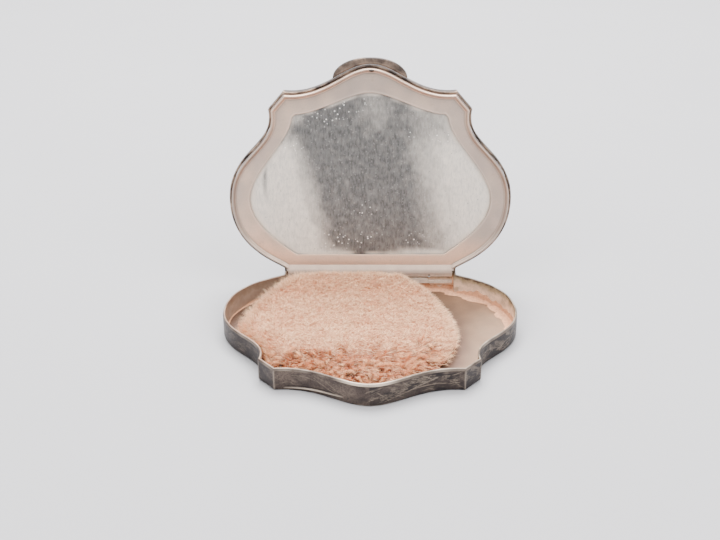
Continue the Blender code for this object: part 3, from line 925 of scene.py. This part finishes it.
def frame_skirt(outer, inner, root):
    """The raised skirt as (inset, height, painted highlight at the tip, painted shade on the outer face and
    at the step), from its root over its tip to the face.
    """
    tip, face = FRAME_TIP, FRAME_FACE
    return (
        (outer, root, 0.0, 0.0),
        (outer, 0.9, 0.0, 0.9),
        (outer, tip + 0.55, 0.0, 0.85),
        (outer + 0.05, tip + 0.3, 0.0, 0.5),
        (outer + 0.14, tip + 0.1, 0.1, 0.2),
        (outer + 0.26, tip, 0.15, 0.15),
        (outer + 0.4, tip + 0.03, 0.0, 0.15),
        (inner - 0.2, tip + 0.14, 0.0, 0.2),
        (inner - 0.05, tip + 0.34, 0.0, 0.3),
        (inner + 0.06, face - 0.28, 0.0, 0.32),
        (inner + 0.16, face - 0.12, 0.0, 0.2),
        (inner + 0.32, face - 0.04, 0.0, 0.0),
    )


def add_frame_face(frame_loft, start, opening):
    """The flat face between the skirt and the mirror: slightly swollen, rippled at the very front."""
    for t in np.linspace(0.03, 1.0, 34):
        flat = start + (opening - start) * t
        x, d = flat[:, 0], flat[:, 1]
        swell = 0.09 * math.sin(math.pi * min(1.0, t * 1.02)) ** 0.7 + 0.012 * waves(flat, 8.0, 21)
        ripple = 0.03 * np.sin(d * 6.5) * smooth(d, 51.5, 54.0)
        low = 1 - smooth(d, 4.0, 14.0)
        left = smooth(-x, 16.0, 30.0) * (1 - smooth(d, 16.0, 26.0))
        right = smooth(x, 22.0, 32.0)
        high = smooth(d, 44.0, 52.0)
        frame_loft.add(
            lid_points(flat, FRAME_FACE - 0.02 - swell + ripple),
            wear=0.2 * np.exp(-(((t - 0.93) / 0.04) ** 2)),
            # painted shade along the foot of the skirt, where the face meets it
            soil=0.3 * math.exp(-((t - 0.03) / 0.05) ** 2),
            peach=np.clip(0.75 * low + 0.35 * left + 0.1 * waves(flat, 9.0, 24), 0, 1),
            grey=np.clip(0.38 * high + 0.34 * right + 0.1 + 0.12 * waves(flat, 6.0, 26), 0, 0.8) * (1 - low),
        )


def build_mirror_frame():
    """The lining round the mirror, with the skirt that fits inside the tray."""
    counts = counts_for(CASE, 0.4)
    outer, inner = FRAME_INSET - 0.27, FRAME_INSET + FRAME_SHEET - 0.1
    root, back = LID_MOUTH + 0.9, FRAME_FACE + 0.4
    opening = inset(OPENING, 0.0, counts)
    outline = inset(CASE, 0.0, counts)
    at_front = smooth(outline[:, 1], 30.0, 46.0)
    at_back = 1 - smooth(outline[:, 1], 0.6, 4.0)
    patchy = 0.5 + 0.5 * waves(outline, 5.0, 23)
    peach = np.clip(0.4 * at_back + 0.55 * at_front, 0, 1)
    surround = Loft("wear", "soil", "peach", "grey")
    for w, h, edge, dirt_and_shade in frame_skirt(outer, inner, root):
        # painted highlight along the skirt's tip; painted shade on its outer face in the gap by the lid wall
        # and down its inner face at the step
        wear = np.clip(edge * (0.55 + 0.45 * patchy) * (1 - 0.9 * at_back), 0, 1)
        soil = dirt_and_shade * (1 - 0.8 * at_back) * (1 - 0.35 * patchy)
        points = lid_points(frame_ring(w, counts), h)
        surround.add(points, wear=wear, soil=soil, peach=peach, grey=0.55 - 0.25 * at_front)
    add_frame_face(surround, frame_ring(inner + 0.32, counts), opening)
    # painted shadow down the edge of the mirror opening
    lining = np.clip(0.55 + 0.4 * waves(opening, 12.0, 27), 0.1, 1)
    for h in (FRAME_FACE + 0.08, FRAME_FACE + 0.3, back):
        surround.add(lid_points(opening, h), soil=lining)
    for w, h in ((inner + 2.0, back), (inner, back), (inner, root)):
        surround.add(lid_points(frame_ring(w, counts), h))
    surround.ring("mirror_surround", "lid", "inner_silver", FRAME_SILVER, ["mirror_frame"])


def build_hinge_leaf():
    """The hinge edge of the lid lining, turned down in front of the lid's knuckles."""
    profile = ((0.13, -0.89), (0.12, -0.96), (0.17, -1.0), (0.5, -0.97), (0.9, -0.88), (1.3, -0.74))
    profile += ((1.7, -0.5), (2.1, -0.2), (2.5, 0.0), (2.6, 0.1), (1.9, -0.2), (1.2, -0.6), (0.6, -0.87))
    x = np.linspace(-LEAF_HALF, LEAF_HALF, 225)
    wave = 0.02 * waves(x[:, None], 3.0, 25)
    lines = []
    for d, h in profile:
        lines.append(lid_points(np.stack([x, np.full(len(x), d)], 1), h + wave * (d < 1.5)))
    # the first rows, at the turned-down edge, take wear with painted highlight and dirt with painted shade
    # where the edge meets the knuckles
    worn_and_highlighted = np.array([0.25, 0.3, 0.1] + [0.0] * (len(profile) - 3))
    dirt_and_shade = np.array([0.5, 0.2, 0.0] + [0.12] * (len(profile) - 3))
    cloud = 0.06 * waves(x[:, None], 4.0, 36)
    leaf = Loft("wear", "soil", "peach", "grey")
    for points, more in zip(np.stack(lines, 1), cloud):
        leaf.add(points, wear=worn_and_highlighted, soil=np.clip(dirt_and_shade + more, 0, 1), peach=0.35, grey=0.4)
    leaf.solid("cover_hinge_leaf", "lid", "inner_silver", FRAME_SILVER, peach=0.35, grey=0.4)


def build_catch():
    """The small catch bead raised on the lining at the middle of the front."""
    turns = 2 * math.pi * np.arange(20) / 20
    centre = np.array((0.4, FRONT_D - FRAME_INSET - 0.25))
    bead = Loft("engrave", "wear")
    for rise, size in ((-0.2, 0.62), (0.1, 0.6), (0.26, 0.46), (0.34, 0.25), (0.36, 0.08)):
        flat = centre + np.stack([1.1 * size * np.cos(turns), 0.55 * size * np.sin(turns)], 1)
        bead.add(lid_points(flat, FRAME_TIP - rise))
    bead.solid("catch_bead", "lid", "case_silver", LID_SILVER)


def mirror_haze(x, d):
    """Lighter where the silvering has bloomed and where a painted reflection of the room falls: low on the
    left, down the right, thinly at the top.
    """
    flat = np.stack([x, d], 1)
    wander = 0.6 * waves(flat, 6.0, 31)
    left = 0.95 * smooth(-x + 0.27 * (30 - d) + wander, 13.5, 22.0) * (1 - smooth(d, 34.0, 42.0))
    right = smooth(x + 0.2 * (d - 20) + wander, 9.0, 25.0) * (1 - 0.55 * smooth(d, 33.0, 42.0))
    below = 0.8 * smooth(-d, -8.2, -6.0) * smooth(np.abs(x), 3.0, 12.0)
    top = 0.3 * np.exp(-(((x - 1.5) / 4.5) ** 2) - ((d - 46) / 6.0) ** 2)
    corner = 0.5 * smooth(np.abs(x), 16.5, 19.5) * smooth(d, 40.0, 43.5)
    total = np.maximum.reduce([left, right, below, top, corner]) + 0.05 * waves(flat, 2.4, 32)
    scratch = np.exp(-(((x + 28.3 - 0.022 * (d - 26) ** 2) / 0.5) ** 2) - ((d - 28) / 6) ** 2)
    return np.clip(total, 0, 1) * (1 - 0.8 * scratch)


def mirror_fleck(x, d):
    """Where white specks gather: an arc at the top left, a knot at the upper right, a row low down."""
    spots = ((-12, 43.6, 3.4), (-8, 45.5, 3), (-4, 47.2, 3), (19.5, 38.5, 3.2), (11, 39.2, 1.6))
    spots += ((-21, 35.5, 2.6), (-10.5, 9.6, 3.5), (-4, 9.6, 3), (1, 9.8, 2.2), (12, 9.6, 2.5))
    spots += ((5.4, 12.4, 1.0), (-1.5, 18, 2.5))
    gathered = sum(np.exp(-(((x - a) / r) ** 2) - ((d - b) / (0.6 * r)) ** 2) for a, b, r in spots)
    return np.clip(0.1 + gathered, 0, 1)


def build_mirror():
    """The mirror plate, reaching under the edge of its frame all round."""
    wide = inset(OPENING, -MIRROR_MARGIN, counts_for(OPENING, 0.45))
    low = FRAME_FACE + 0.4 + FIT_GAP - 0.25
    middle = np.array((0.0, 27.0))
    plate = Loft("haze", "edge", "fleck")
    for k in (0.1, 0.5, 0.98):
        plate.add(lid_points(middle + (wide - middle) * k, low + 1.0))
    for rise in (0.9, 0.3):
        plate.add(lid_points(wide, low + rise))
    for k in (0.985, *np.linspace(0.97, 0.02, 64)):
        flat = middle + (wide - middle) * k
        x, d = flat[:, 0], flat[:, 1]
        points = lid_points(flat, low + 0.2 * float(smooth(k, 0.96, 1.0)))
        edge = np.clip(float(smooth(k, 0.915, 0.955)) * (0.55 + 0.4 * waves(flat, 6.0, 33)), 0, 0.8)
        plate.add(points, haze=mirror_haze(x, d), edge=edge, fleck=mirror_fleck(x, d))
    plate.solid("mirror_plate", "lid", "mirror", MIRROR, ["mirror_glass"], haze=0.1)


# ---- hinge ----
def round_pin(x, radius, angle):
    """A loop round the hinge pin at one x."""
    y, z = radius * np.cos(angle), radius * np.sin(angle)
    return np.stack([np.full(len(angle), x), HINGE_Y + y, HINGE_Z + z], 1) * MM


def build_knuckle(name, x0, x1, body, node):
    """A knuckle rolled from sheet: rounded ends and a seam where the sheet meets itself."""
    angle = 2 * math.pi * np.arange(40) / 40
    seam = np.exp(-((np.angle(np.exp(1j * (angle - 2.4))) / 0.12) ** 2))
    ends = ((KNUCKLE_BORE, 0.0), (KNUCKLE_R - 0.12, 0.0), (KNUCKLE_R - 0.04, 0.04), (KNUCKLE_R, 0.12))
    profile = [(r, x0 + step) for r, step in ends]
    profile += [(KNUCKLE_R - 0.01 * (i % 2), x) for i, x in enumerate(np.linspace(x0 + 0.3, x1 - 0.3, 12))]
    profile += [(r, x1 - step) for r, step in ends[::-1]]
    knuckle = Loft()
    for r, x in profile:
        knuckle.add(round_pin(x, r - 0.12 * seam * (r > KNUCKLE_BORE + 0.05), angle))
    knuckle.ring(name, body, "hinge_silver", HINGE_SILVER, [node])


def build_hinge():
    """Five knuckles in a row, turn about on the lid and the tray."""
    inner, outer, end = KNUCKLE_EDGES
    half = FIT_GAP / 2
    build_knuckle("tray_knuckle_left", -outer + half, -inner - half, "base", "base_knuckle_left")
    build_knuckle("tray_knuckle_right", inner + half, outer - half, "base", "base_knuckle_right")
    build_knuckle("cover_knuckle_left", -end, -outer - half, "lid", "lid_knuckle_left")
    build_knuckle("cover_knuckle_centre", -inner + half, inner - half, "lid", "lid_knuckle_centre")
    build_knuckle("cover_knuckle_right", outer + half, end, "lid", "lid_knuckle_right")


def build_gap_shade_rings():
    """Thin dark rings that fill the gaps between the knuckles on the pin: dark pieces standing in for the
    shade in those gaps.
    """
    turns = 2 * math.pi * np.arange(RING_SIDES) / RING_SIDES
    inner, outer = KNUCKLE_EDGES[:2]
    # painted shade: dark rings where the gaps between knuckles show only shade
    for i, x in enumerate((-outer, -inner, inner, outer)):
        gap_shade_ring = Loft()
        for r, dx in ((0.5, -0.1), (0.72, -0.1), (0.76, 0.0), (0.72, 0.1), (0.5, 0.1)):
            gap_shade_ring.add(round_pin(x + dx, r, turns))
        gap_shade_ring.ring(f"hinge_gap_shade_{i + 1}", "base", "pin_steel", PIN_STEEL)


# ---- puff ----
def puff_reach():
    """How far the puff spreads from its middle at each angle before the walls stop it."""
    room = inset(CASE, BASE_SHEET + 0.75, counts_for(CASE, 0.5))
    room[:, 1] = np.maximum(room[:, 1], 2.9)
    from_middle = room - np.array(PUFF_CENTRE)
    bearing = np.arctan2(from_middle[:, 1], from_middle[:, 0])
    far = np.linalg.norm(from_middle, axis=1)
    order = np.argsort(bearing)
    grid = np.linspace(-math.pi, math.pi, 361)
    reach = np.interp(grid, bearing[order], far[order], period=2 * math.pi)
    reach = np.minimum(reach, PUFF_R)
    for _ in range(30):
        ring = reach[:-1]
        ring = np.minimum(ring, 0.25 * (np.roll(ring, 1) + 2 * ring + np.roll(ring, -1)))
        reach = np.append(ring, ring[0])
    return grid, reach


REACH = puff_reach()


def reach_at(angle):
    return np.interp(angle, *REACH, period=2 * math.pi)


def hollow_at(flat):
    """1 in the dark gap beside the left notch, where the pile falls away from the wall."""
    return np.exp(-(((flat[:, 0] + 25.0) / 2.2) ** 2) - ((flat[:, 1] - 43.2) / 1.8) ** 2)


def front_of(flat):
    """1 in the shaggy front of the puff, 0 on its matted crown, with a ragged border."""
    x = flat[:, 0]
    border = 39.8 - 0.15 * x - 1.5 * np.maximum(0, -x - 21) + 1.5 * waves(flat, 5.0, 44)
    return smooth(flat[:, 1] - border, -1.6, 2.2)


def thin_here(flat):
    """1 where the pile thins out over the bare floor, at the front right."""
    return smooth(flat[:, 0] + 0.55 * (flat[:, 1] - 36.0), 15.0, 21.0) * smooth(flat[:, 1], 33.0, 38.0)


def puff_height(share, angle, flat):
    """Height of the matted pile: a flat crown that rolls over at its edge, taller by the hinge."""
    back = smooth(-np.sin(angle), 0.25, 0.8)
    crown = (1.0 - np.clip(share, 0, 1) ** (5 + 16 * back)) ** 0.6
    lumps = 0.2 * waves(flat, 9.0, 41) + 0.14 * waves(flat, 3.2, 42)
    rise = 2.4 * smooth(-flat[:, 1], -16.0, -5.0)
    fall = 0.5 * front_of(flat)
    return PUFF_FLOOR + 0.3 + (PUFF_TOP - PUFF_FLOOR - 0.3 + rise - fall + lumps) * crown


def puff_flat(share, angle):
    r = share * reach_at(angle)
    return np.stack([PUFF_CENTRE[0] + r * np.cos(angle), PUFF_CENTRE[1] + r * np.sin(angle)], 1)


def press(obj):
    """Gives the piece a mesh of its own."""
    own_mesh(obj)


def build_puff_core():
    """The felted ground of the puff, hollowed under the shaggy front."""
    cols = 300
    angle = 2 * math.pi * np.arange(cols) / cols
    ground = Loft("front")
    for share in (0.1, 0.5, 0.85):
        ground.add(tray_points(puff_flat(share, angle), PUFF_FLOOR))
    ground.add(tray_points(puff_flat(0.95, angle), PUFF_FLOOR + 0.2))
    for share in (0.985, *np.linspace(0.97, 0.02, 60)):
        flat = puff_flat(share, angle)
        flat = flat + (puff_flat(min(share, 0.94), angle) - flat) * thin_here(flat)[:, None]
        z = puff_height(np.full(cols, share), angle, flat) - 0.3 + 0.14 * waves(flat, 1.3, 43)
        shaggy = front_of(flat)
        z = z - shaggy * (1.5 + 0.9 * waves(flat, 2.6, 45)) - 3.0 * hollow_at(flat)
        ground.add(tray_points(flat, np.maximum(z, PUFF_FLOOR + 0.25)), front=shaggy)
    core = ground.solid("puff_body", "puff", "puff_pile", CORE, ["puff_pile"])
    press(core)


def build_puff_cloth():
    """The round of cloth under the puff, its edge stitched."""
    angle = 2 * math.pi * np.arange(300) / 300
    low = FLOOR_THICK + FIT_GAP
    cloth = Loft()
    section = ((0.3, 0.0), (0.84, 0.0), (0.868, 0.06), (0.872, 0.15), (0.868, 0.24), (0.84, 0.3), (0.3, 0.3))
    for k, rise in section:
        cloth.add(tray_points(puff_flat(k, angle), low + rise + 0.02 * np.sin(angle * 150)))
    cloth.solid("puff_base_cloth", "puff", "puff_fabric", FABRIC, ["puff_backing"])


def tray_room(points):
    """Which fibre tips stay inside the tray wall, clear of the hinge and the floor."""
    flat = np.stack([points[:, 0], HINGE_Y - points[:, 1]], 1)
    room = inset(CASE, BASE_SHEET + 0.2, counts_for(CASE, 1.0))
    x, d = flat[:, 0], flat[:, 1]
    hit = np.zeros(len(flat), bool)
    for (x1, d1), (x0, d0) in zip(room, np.roll(room, 1, 0)):
        if d1 != d0:
            hit ^= ((d0 > d) != (d1 > d)) & (x < (x1 - x0) * (d - d0) / (d1 - d0) + x0)
    return hit & (d > 1.5) & (points[:, 2] > FLOOR_THICK + 0.1)


def world_of(flat, z):
    """Points over the tray, in millimetres."""
    return np.stack([flat[:, 0], HINGE_Y - flat[:, 1], z], 1)


def strands(name, ok, root, mid, tip, width, tint, material, rings=3):
    """Fine tapered fibres where ok, one quadratic arc each, as three-sided closed tubes."""
    root, mid, tip, width, tint = (values[ok] for values in (root, mid, tip, width, tint))
    count = len(root)
    t = np.linspace(0, 1, rings + 1)[:, None, None]
    line = (1 - t) ** 2 * root + 2 * (1 - t) * t * mid + t * t * tip
    way = unit(tip - root)
    helper = np.where(np.abs(way[:, 2:3]) > 0.8, np.array([[1.0, 0, 0]]), np.array([[0, 0, 1.0]]))
    u = unit(np.cross(way, helper))
    v = np.cross(way, u)
    taper = np.linspace(1.0, 0.35, rings)
    points = []
    for i in range(rings):
        for k in range(3):
            a = 2 * math.pi * k / 3
            points.append(line[i] + (u * math.cos(a) + v * math.sin(a)) * (width * taper[i])[:, None])
    points.append(line[rings])
    points = np.stack(points, 1)
    per = rings * 3 + 1
    tris = np.vstack([fan_faces((rings - 1) * 3, 3, rings * 3, False), [[2, 1, 0]]])
    base = (np.arange(count) * per)[:, None, None]
    quads = (grid_faces(rings, 3)[None] + base).reshape(-1, 4)
    tris = (tris[None] + base).reshape(-1, 3)
    along = np.repeat(np.append(np.linspace(0, 0.85, rings), 1.0), [3] * rings + [1])
    fields = {"tip": np.tile(along, count), "tint": np.repeat(tint, per)}
    press(make_piece(name, points.reshape(-1, 3) * MM, quads, tris, "puff", material, fields))


def build_top_pile(name, seed, count):
    """Short matted fibres lying every way over the crown, combed outward near its edges."""
    rng = np.random.default_rng(seed)
    angle = rng.uniform(-math.pi, math.pi, count)
    share = np.sqrt(rng.uniform(0, 0.96, count))
    flat = puff_flat(share, angle)
    sparse = np.maximum(0.8 * front_of(flat), 0.9 * thin_here(flat) * smooth(share, 0.75, 0.95))
    keep = rng.uniform(size=count) > sparse
    angle, share, flat = angle[keep], share[keep], flat[keep]
    n = len(flat)
    z = puff_height(share, angle, flat)
    front = front_of(flat)
    root = world_of(flat, z - 0.35)
    swirl = waves(flat, 2.2, seed + 1) * 2.4 + rng.normal(0, 0.8, n)
    loose = np.stack([np.cos(swirl), np.sin(swirl)], 1)
    outward = np.stack([np.cos(angle), -np.sin(angle)], 1)
    pull = np.clip(smooth(share, 0.7, 0.98) * 1.1 + 1.2 * front, 0, 1.4)[:, None]
    heading = unit(loose + outward * pull)
    lift = rng.uniform(0.1, 0.7, n)
    length = rng.uniform(1.1, 2.3, n) * (1 + 0.7 * front)
    tip = root.copy()
    tip[:, :2] += heading * (length * np.cos(lift))[:, None]
    tip[:, 2] += length * np.sin(lift) * 0.6 + 0.3 - 0.5 * smooth(share, 0.85, 1.0)
    mid = 0.5 * (root + tip)
    mid[:, 2] += rng.uniform(0.2, 0.6, n)
    mid[:, :2] += rng.normal(0, 0.18, (n, 2))
    kind = rng.uniform(size=n)
    pale = rng.uniform(0.0, 0.16, n)
    tint = np.where(kind < 0.76, pale, np.where(kind < 0.92, rng.uniform(0.4, 0.8, n), 1.0))
    tint = np.clip(tint + 0.2 * front, 0, 1)
    strands(name, tray_room(tip), root, mid, tip, rng.uniform(0.04, 0.07, n), tint, PILE_TOP)


def build_shag(name, seed, clumps, each, size, colour):
    """Front tufts: fibres drawn together at their tips, leaning outward and curling over."""
    rng = np.random.default_rng(seed)
    angle = rng.uniform(-0.2, math.pi + 0.6, clumps * 5)
    share = np.sqrt(rng.uniform(0.3, 0.985, clumps * 5))
    flat = puff_flat(share, angle)
    front = front_of(flat)
    side = smooth(share, 0.86, 0.97) * smooth(flat[:, 1], 26.0, 36.0) * (flat[:, 0] < 0)
    chance = np.maximum(front, side) * (1 - smooth(flat[:, 0], 11.0, 18.0)) * (1 - hollow_at(flat))
    keep = np.flatnonzero(rng.uniform(size=len(front)) < chance)[:clumps]
    angle, share, flat, front = angle[keep], share[keep], flat[keep], front[keep]
    m = len(keep)
    z = puff_height(share, angle, flat) - 1.1 * front
    centre = world_of(flat, z)
    heading = np.stack([np.cos(angle), -np.sin(angle), np.zeros(m)], 1) * 0.75
    heading += rng.normal(0, 0.5, (m, 3))
    heading[:, 2] = rng.uniform(-0.1, 0.6, m) - 0.25 * smooth(share, 0.9, 1.0)
    heading = unit(heading)
    long = rng.uniform(0.6, 1.0, m) * size
    which = np.repeat(np.arange(m), each)
    n = len(which)
    root = centre[which] + rng.normal(0, 0.4, (n, 3)) * np.array((1, 1, 0.25)) - np.array((0, 0, 0.4))
    tip = centre[which] + heading[which] * (long[which] * rng.uniform(0.7, 1.12, n))[:, None]
    tip += rng.normal(0, 0.24, (n, 3))
    mid = 0.5 * (root + tip)
    mid[:, 2] += 0.42 * long[which] * rng.uniform(0.5, 1.2, n)
    shade = rng.normal(colour, 0.3, m)[which]
    tint = np.clip(shade + rng.normal(0, 0.15, n), 0, 1)
    ok = tray_room(tip) & tray_room(mid)
    strands(name, ok, root, mid, tip, rng.uniform(0.035, 0.06, n), tint, PILE_FRONT, 4)


def build_wisps(name, seed, count):
    """Loose fibres fluffed up along the hinge and out over the two sides."""
    rng = np.random.default_rng(seed)
    where = rng.uniform(size=count)
    back = rng.uniform(-2.35, -0.95, count)
    left = rng.uniform(2.5, 4.2, count)
    right = rng.uniform(-0.9, 0.5, count)
    angle = np.where(where < 0.45, back, np.where(where < 0.8, left, right))
    share = rng.uniform(0.86, 0.985, count)
    flat = puff_flat(share, angle)
    z = puff_height(share, angle, flat)
    root = world_of(flat, z - 0.4)
    behind = where < 0.45
    heading = np.stack([np.cos(angle), -np.sin(angle), np.where(behind, 0.8, 0.35)], 1)
    heading = unit(heading + rng.normal(0, 0.5, (count, 3)))
    long = rng.uniform(0.9, 2.0, count) + 1.1 * (~behind & (where < 0.8))
    tip = root + heading * long[:, None]
    mid = 0.5 * (root + tip)
    mid[:, 2] += rng.uniform(0.1, 0.7, count)
    tint = np.clip(rng.normal(0.2, 0.3, count), 0, 1)
    strands(name, tray_room(tip), root, mid, tip, rng.uniform(0.04, 0.065, count), tint, PILE_TOP)


def build_puff():
    build_puff_core()
    build_puff_cloth()
    for letter, seed in (("a", 51), ("b", 61), ("c", 71)):
        build_top_pile(f"pile_top_{letter}", seed, 10000)
    build_shag("shag_under", 81, 520, 16, 3.2, 0.95)
    build_shag("shag_over", 91, 360, 20, 4.2, 0.45)
    build_wisps("wisps", 101, 5000)


# ---- powder caked in the joint of floor and wall ----
def build_powder():
    """Powder caked in the joint of floor and wall: up the wall a little and out over the floor."""
    counts = counts_for(CASE, 0.3)
    edge = inset(CASE, BASE_SHEET + 0.02, counts)
    away = unit(inset(CASE, BASE_SHEET + 1.02, counts) - edge)
    s = along_loop(edge, counts)
    where = np.clip(smooth(s, 26.0, 50.0) + 0.3 * smooth(-s, 62.0, 74.0), 0.08, 1)
    spread = 2.3 + 0.8 * waves(edge, 7.0, 6) + 0.3 * waves(edge, 2.2, 7) + 0.12 * waves(edge, 0.8, 17)
    spread = np.clip(where * spread, 0.15, 4.0)
    climb = where * (1.3 + 0.6 * waves(edge, 6.0, 16) + 0.25 * waves(edge, 1.8, 19))
    climb = np.clip(climb, 0.1, 2.6)
    floor = FLOOR_THICK - 0.03
    cake = Loft()
    cake.add(tray_points(edge, floor))
    for k in np.linspace(1.0, 0.15, 7):
        thick = 0.10 * (1 - k) ** 0.6 + 0.03
        bumps = 1 + 0.4 * waves(np.hstack([edge, np.full((len(edge), 1), 4 * k)]), 0.8, 9)
        cake.add(tray_points(edge + away * (thick * bumps)[:, None], floor + climb * k))
    cake.add(tray_points(edge + away * 0.3, floor + 0.26 * where + 0.06))
    for k in np.linspace(0.16, 1.0, 13):
        flat = edge + away * (0.3 + (spread - 0.15) * k)[:, None]
        thick = 0.2 * where * (1 - k**3) * (1 + 0.35 * waves(flat, 0.7, 9) + 0.3 * waves(flat, 2.0, 10))
        cake.add(tray_points(flat, floor + np.maximum(thick, 0.0) + 0.05 * (1 - k)))
    cake.ring("powder_line", "base", "puff_pile", POWDER)


# ---- stage, light, camera ----
def build_stage():
    """A pale sheet that lies flat under the compact and sweeps up behind it."""
    profile = [(-1.2, 0.0), (0.35, 0.0)]
    radius = 0.5
    for a in np.linspace(0.1, math.pi / 2, 14):
        profile.append((0.35 + radius * math.sin(a), radius * (1 - math.cos(a))))
    profile.append((0.35 + radius, 1.6))
    verts, faces = [], []
    for y, z in profile:
        verts += [(-1.6, y, z), (1.6, y, z)]
    for i in range(len(profile) - 1):
        faces.append((2 * i, 2 * i + 1, 2 * i + 3, 2 * i + 2))
    mesh = bpy.data.meshes.new("studio_floor")
    mesh.from_pydata(verts, [], faces)
    mesh.shade_smooth()
    f = Finish("studio_paper", 0.0, 0.85)
    f.colour(f.mix(f.noise(60.0, 2.0), (0.335, 0.33, 0.342), (0.355, 0.351, 0.363)))
    mesh.materials.append(f.material)
    obj = bpy.data.objects.new("studio_floor", mesh)
    bpy.context.scene.collection.objects.link(obj)


def area_light(name, location, target, size, power):
    data = bpy.data.lights.new(name, "AREA")
    data.shape = "RECTANGLE"
    data.size, data.size_y = size
    data.energy = power
    obj = bpy.data.objects.new(name, data)
    obj.location = location
    aim = Vector(target) - Vector(location)
    obj.rotation_euler = aim.to_track_quat("-Z", "Y").to_euler()
    bpy.context.scene.collection.objects.link(obj)


def build_light():
    world = bpy.data.worlds.new("studio_air")
    world.use_nodes = True
    back = world.node_tree.nodes["Background"]
    back.inputs["Color"].default_value = (0.95, 0.96, 1.0, 1.0)
    back.inputs["Strength"].default_value = 0.5
    bpy.context.scene.world = world
    for softbox in SOFTBOXES:
        area_light(*softbox)


def build_camera():
    pitch, yaw, roll = map(math.radians, CAMERA_TURN)
    ahead = Vector((math.sin(yaw) * math.cos(pitch), math.cos(yaw) * math.cos(pitch), -math.sin(pitch)))
    right = Vector((math.cos(yaw), -math.sin(yaw), 0.0))
    up = right.cross(ahead)
    across = right * math.cos(roll) + up * math.sin(roll)
    upward = up * math.cos(roll) - right * math.sin(roll)
    data = bpy.data.cameras.new("camera")
    data.sensor_width = 36.0
    data.lens = CAMERA_LENS
    data.clip_start = 0.01
    data.clip_end = 20.0
    camera = bpy.data.objects.new("camera", data)
    axes = Matrix((across, upward, -ahead)).transposed().to_4x4()
    camera.matrix_world = Matrix.Translation(CAMERA_AT) @ axes
    bpy.context.scene.collection.objects.link(camera)
    bpy.context.scene.camera = camera


def dress_cad():
    """Give the CAD pieces that stay their own worn finishes."""
    stay = (("hinge_pin", PIN_STEEL), ("mirror_card", CARD), ("base_hinge_strip", HINGE_SILVER))
    for node, material in stay:
        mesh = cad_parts[node].data
        mesh.materials.clear()
        mesh.materials.append(material)


build_stage()
build_light()
build_camera()
dress_cad()
build_base_wall()
build_floor()
build_lid_wall()
build_lid_panel()
build_thumb_lip()
build_mirror_frame()
build_catch()
build_hinge_leaf()
build_mirror()
build_hinge()
build_gap_shade_rings()
build_puff()
build_powder()
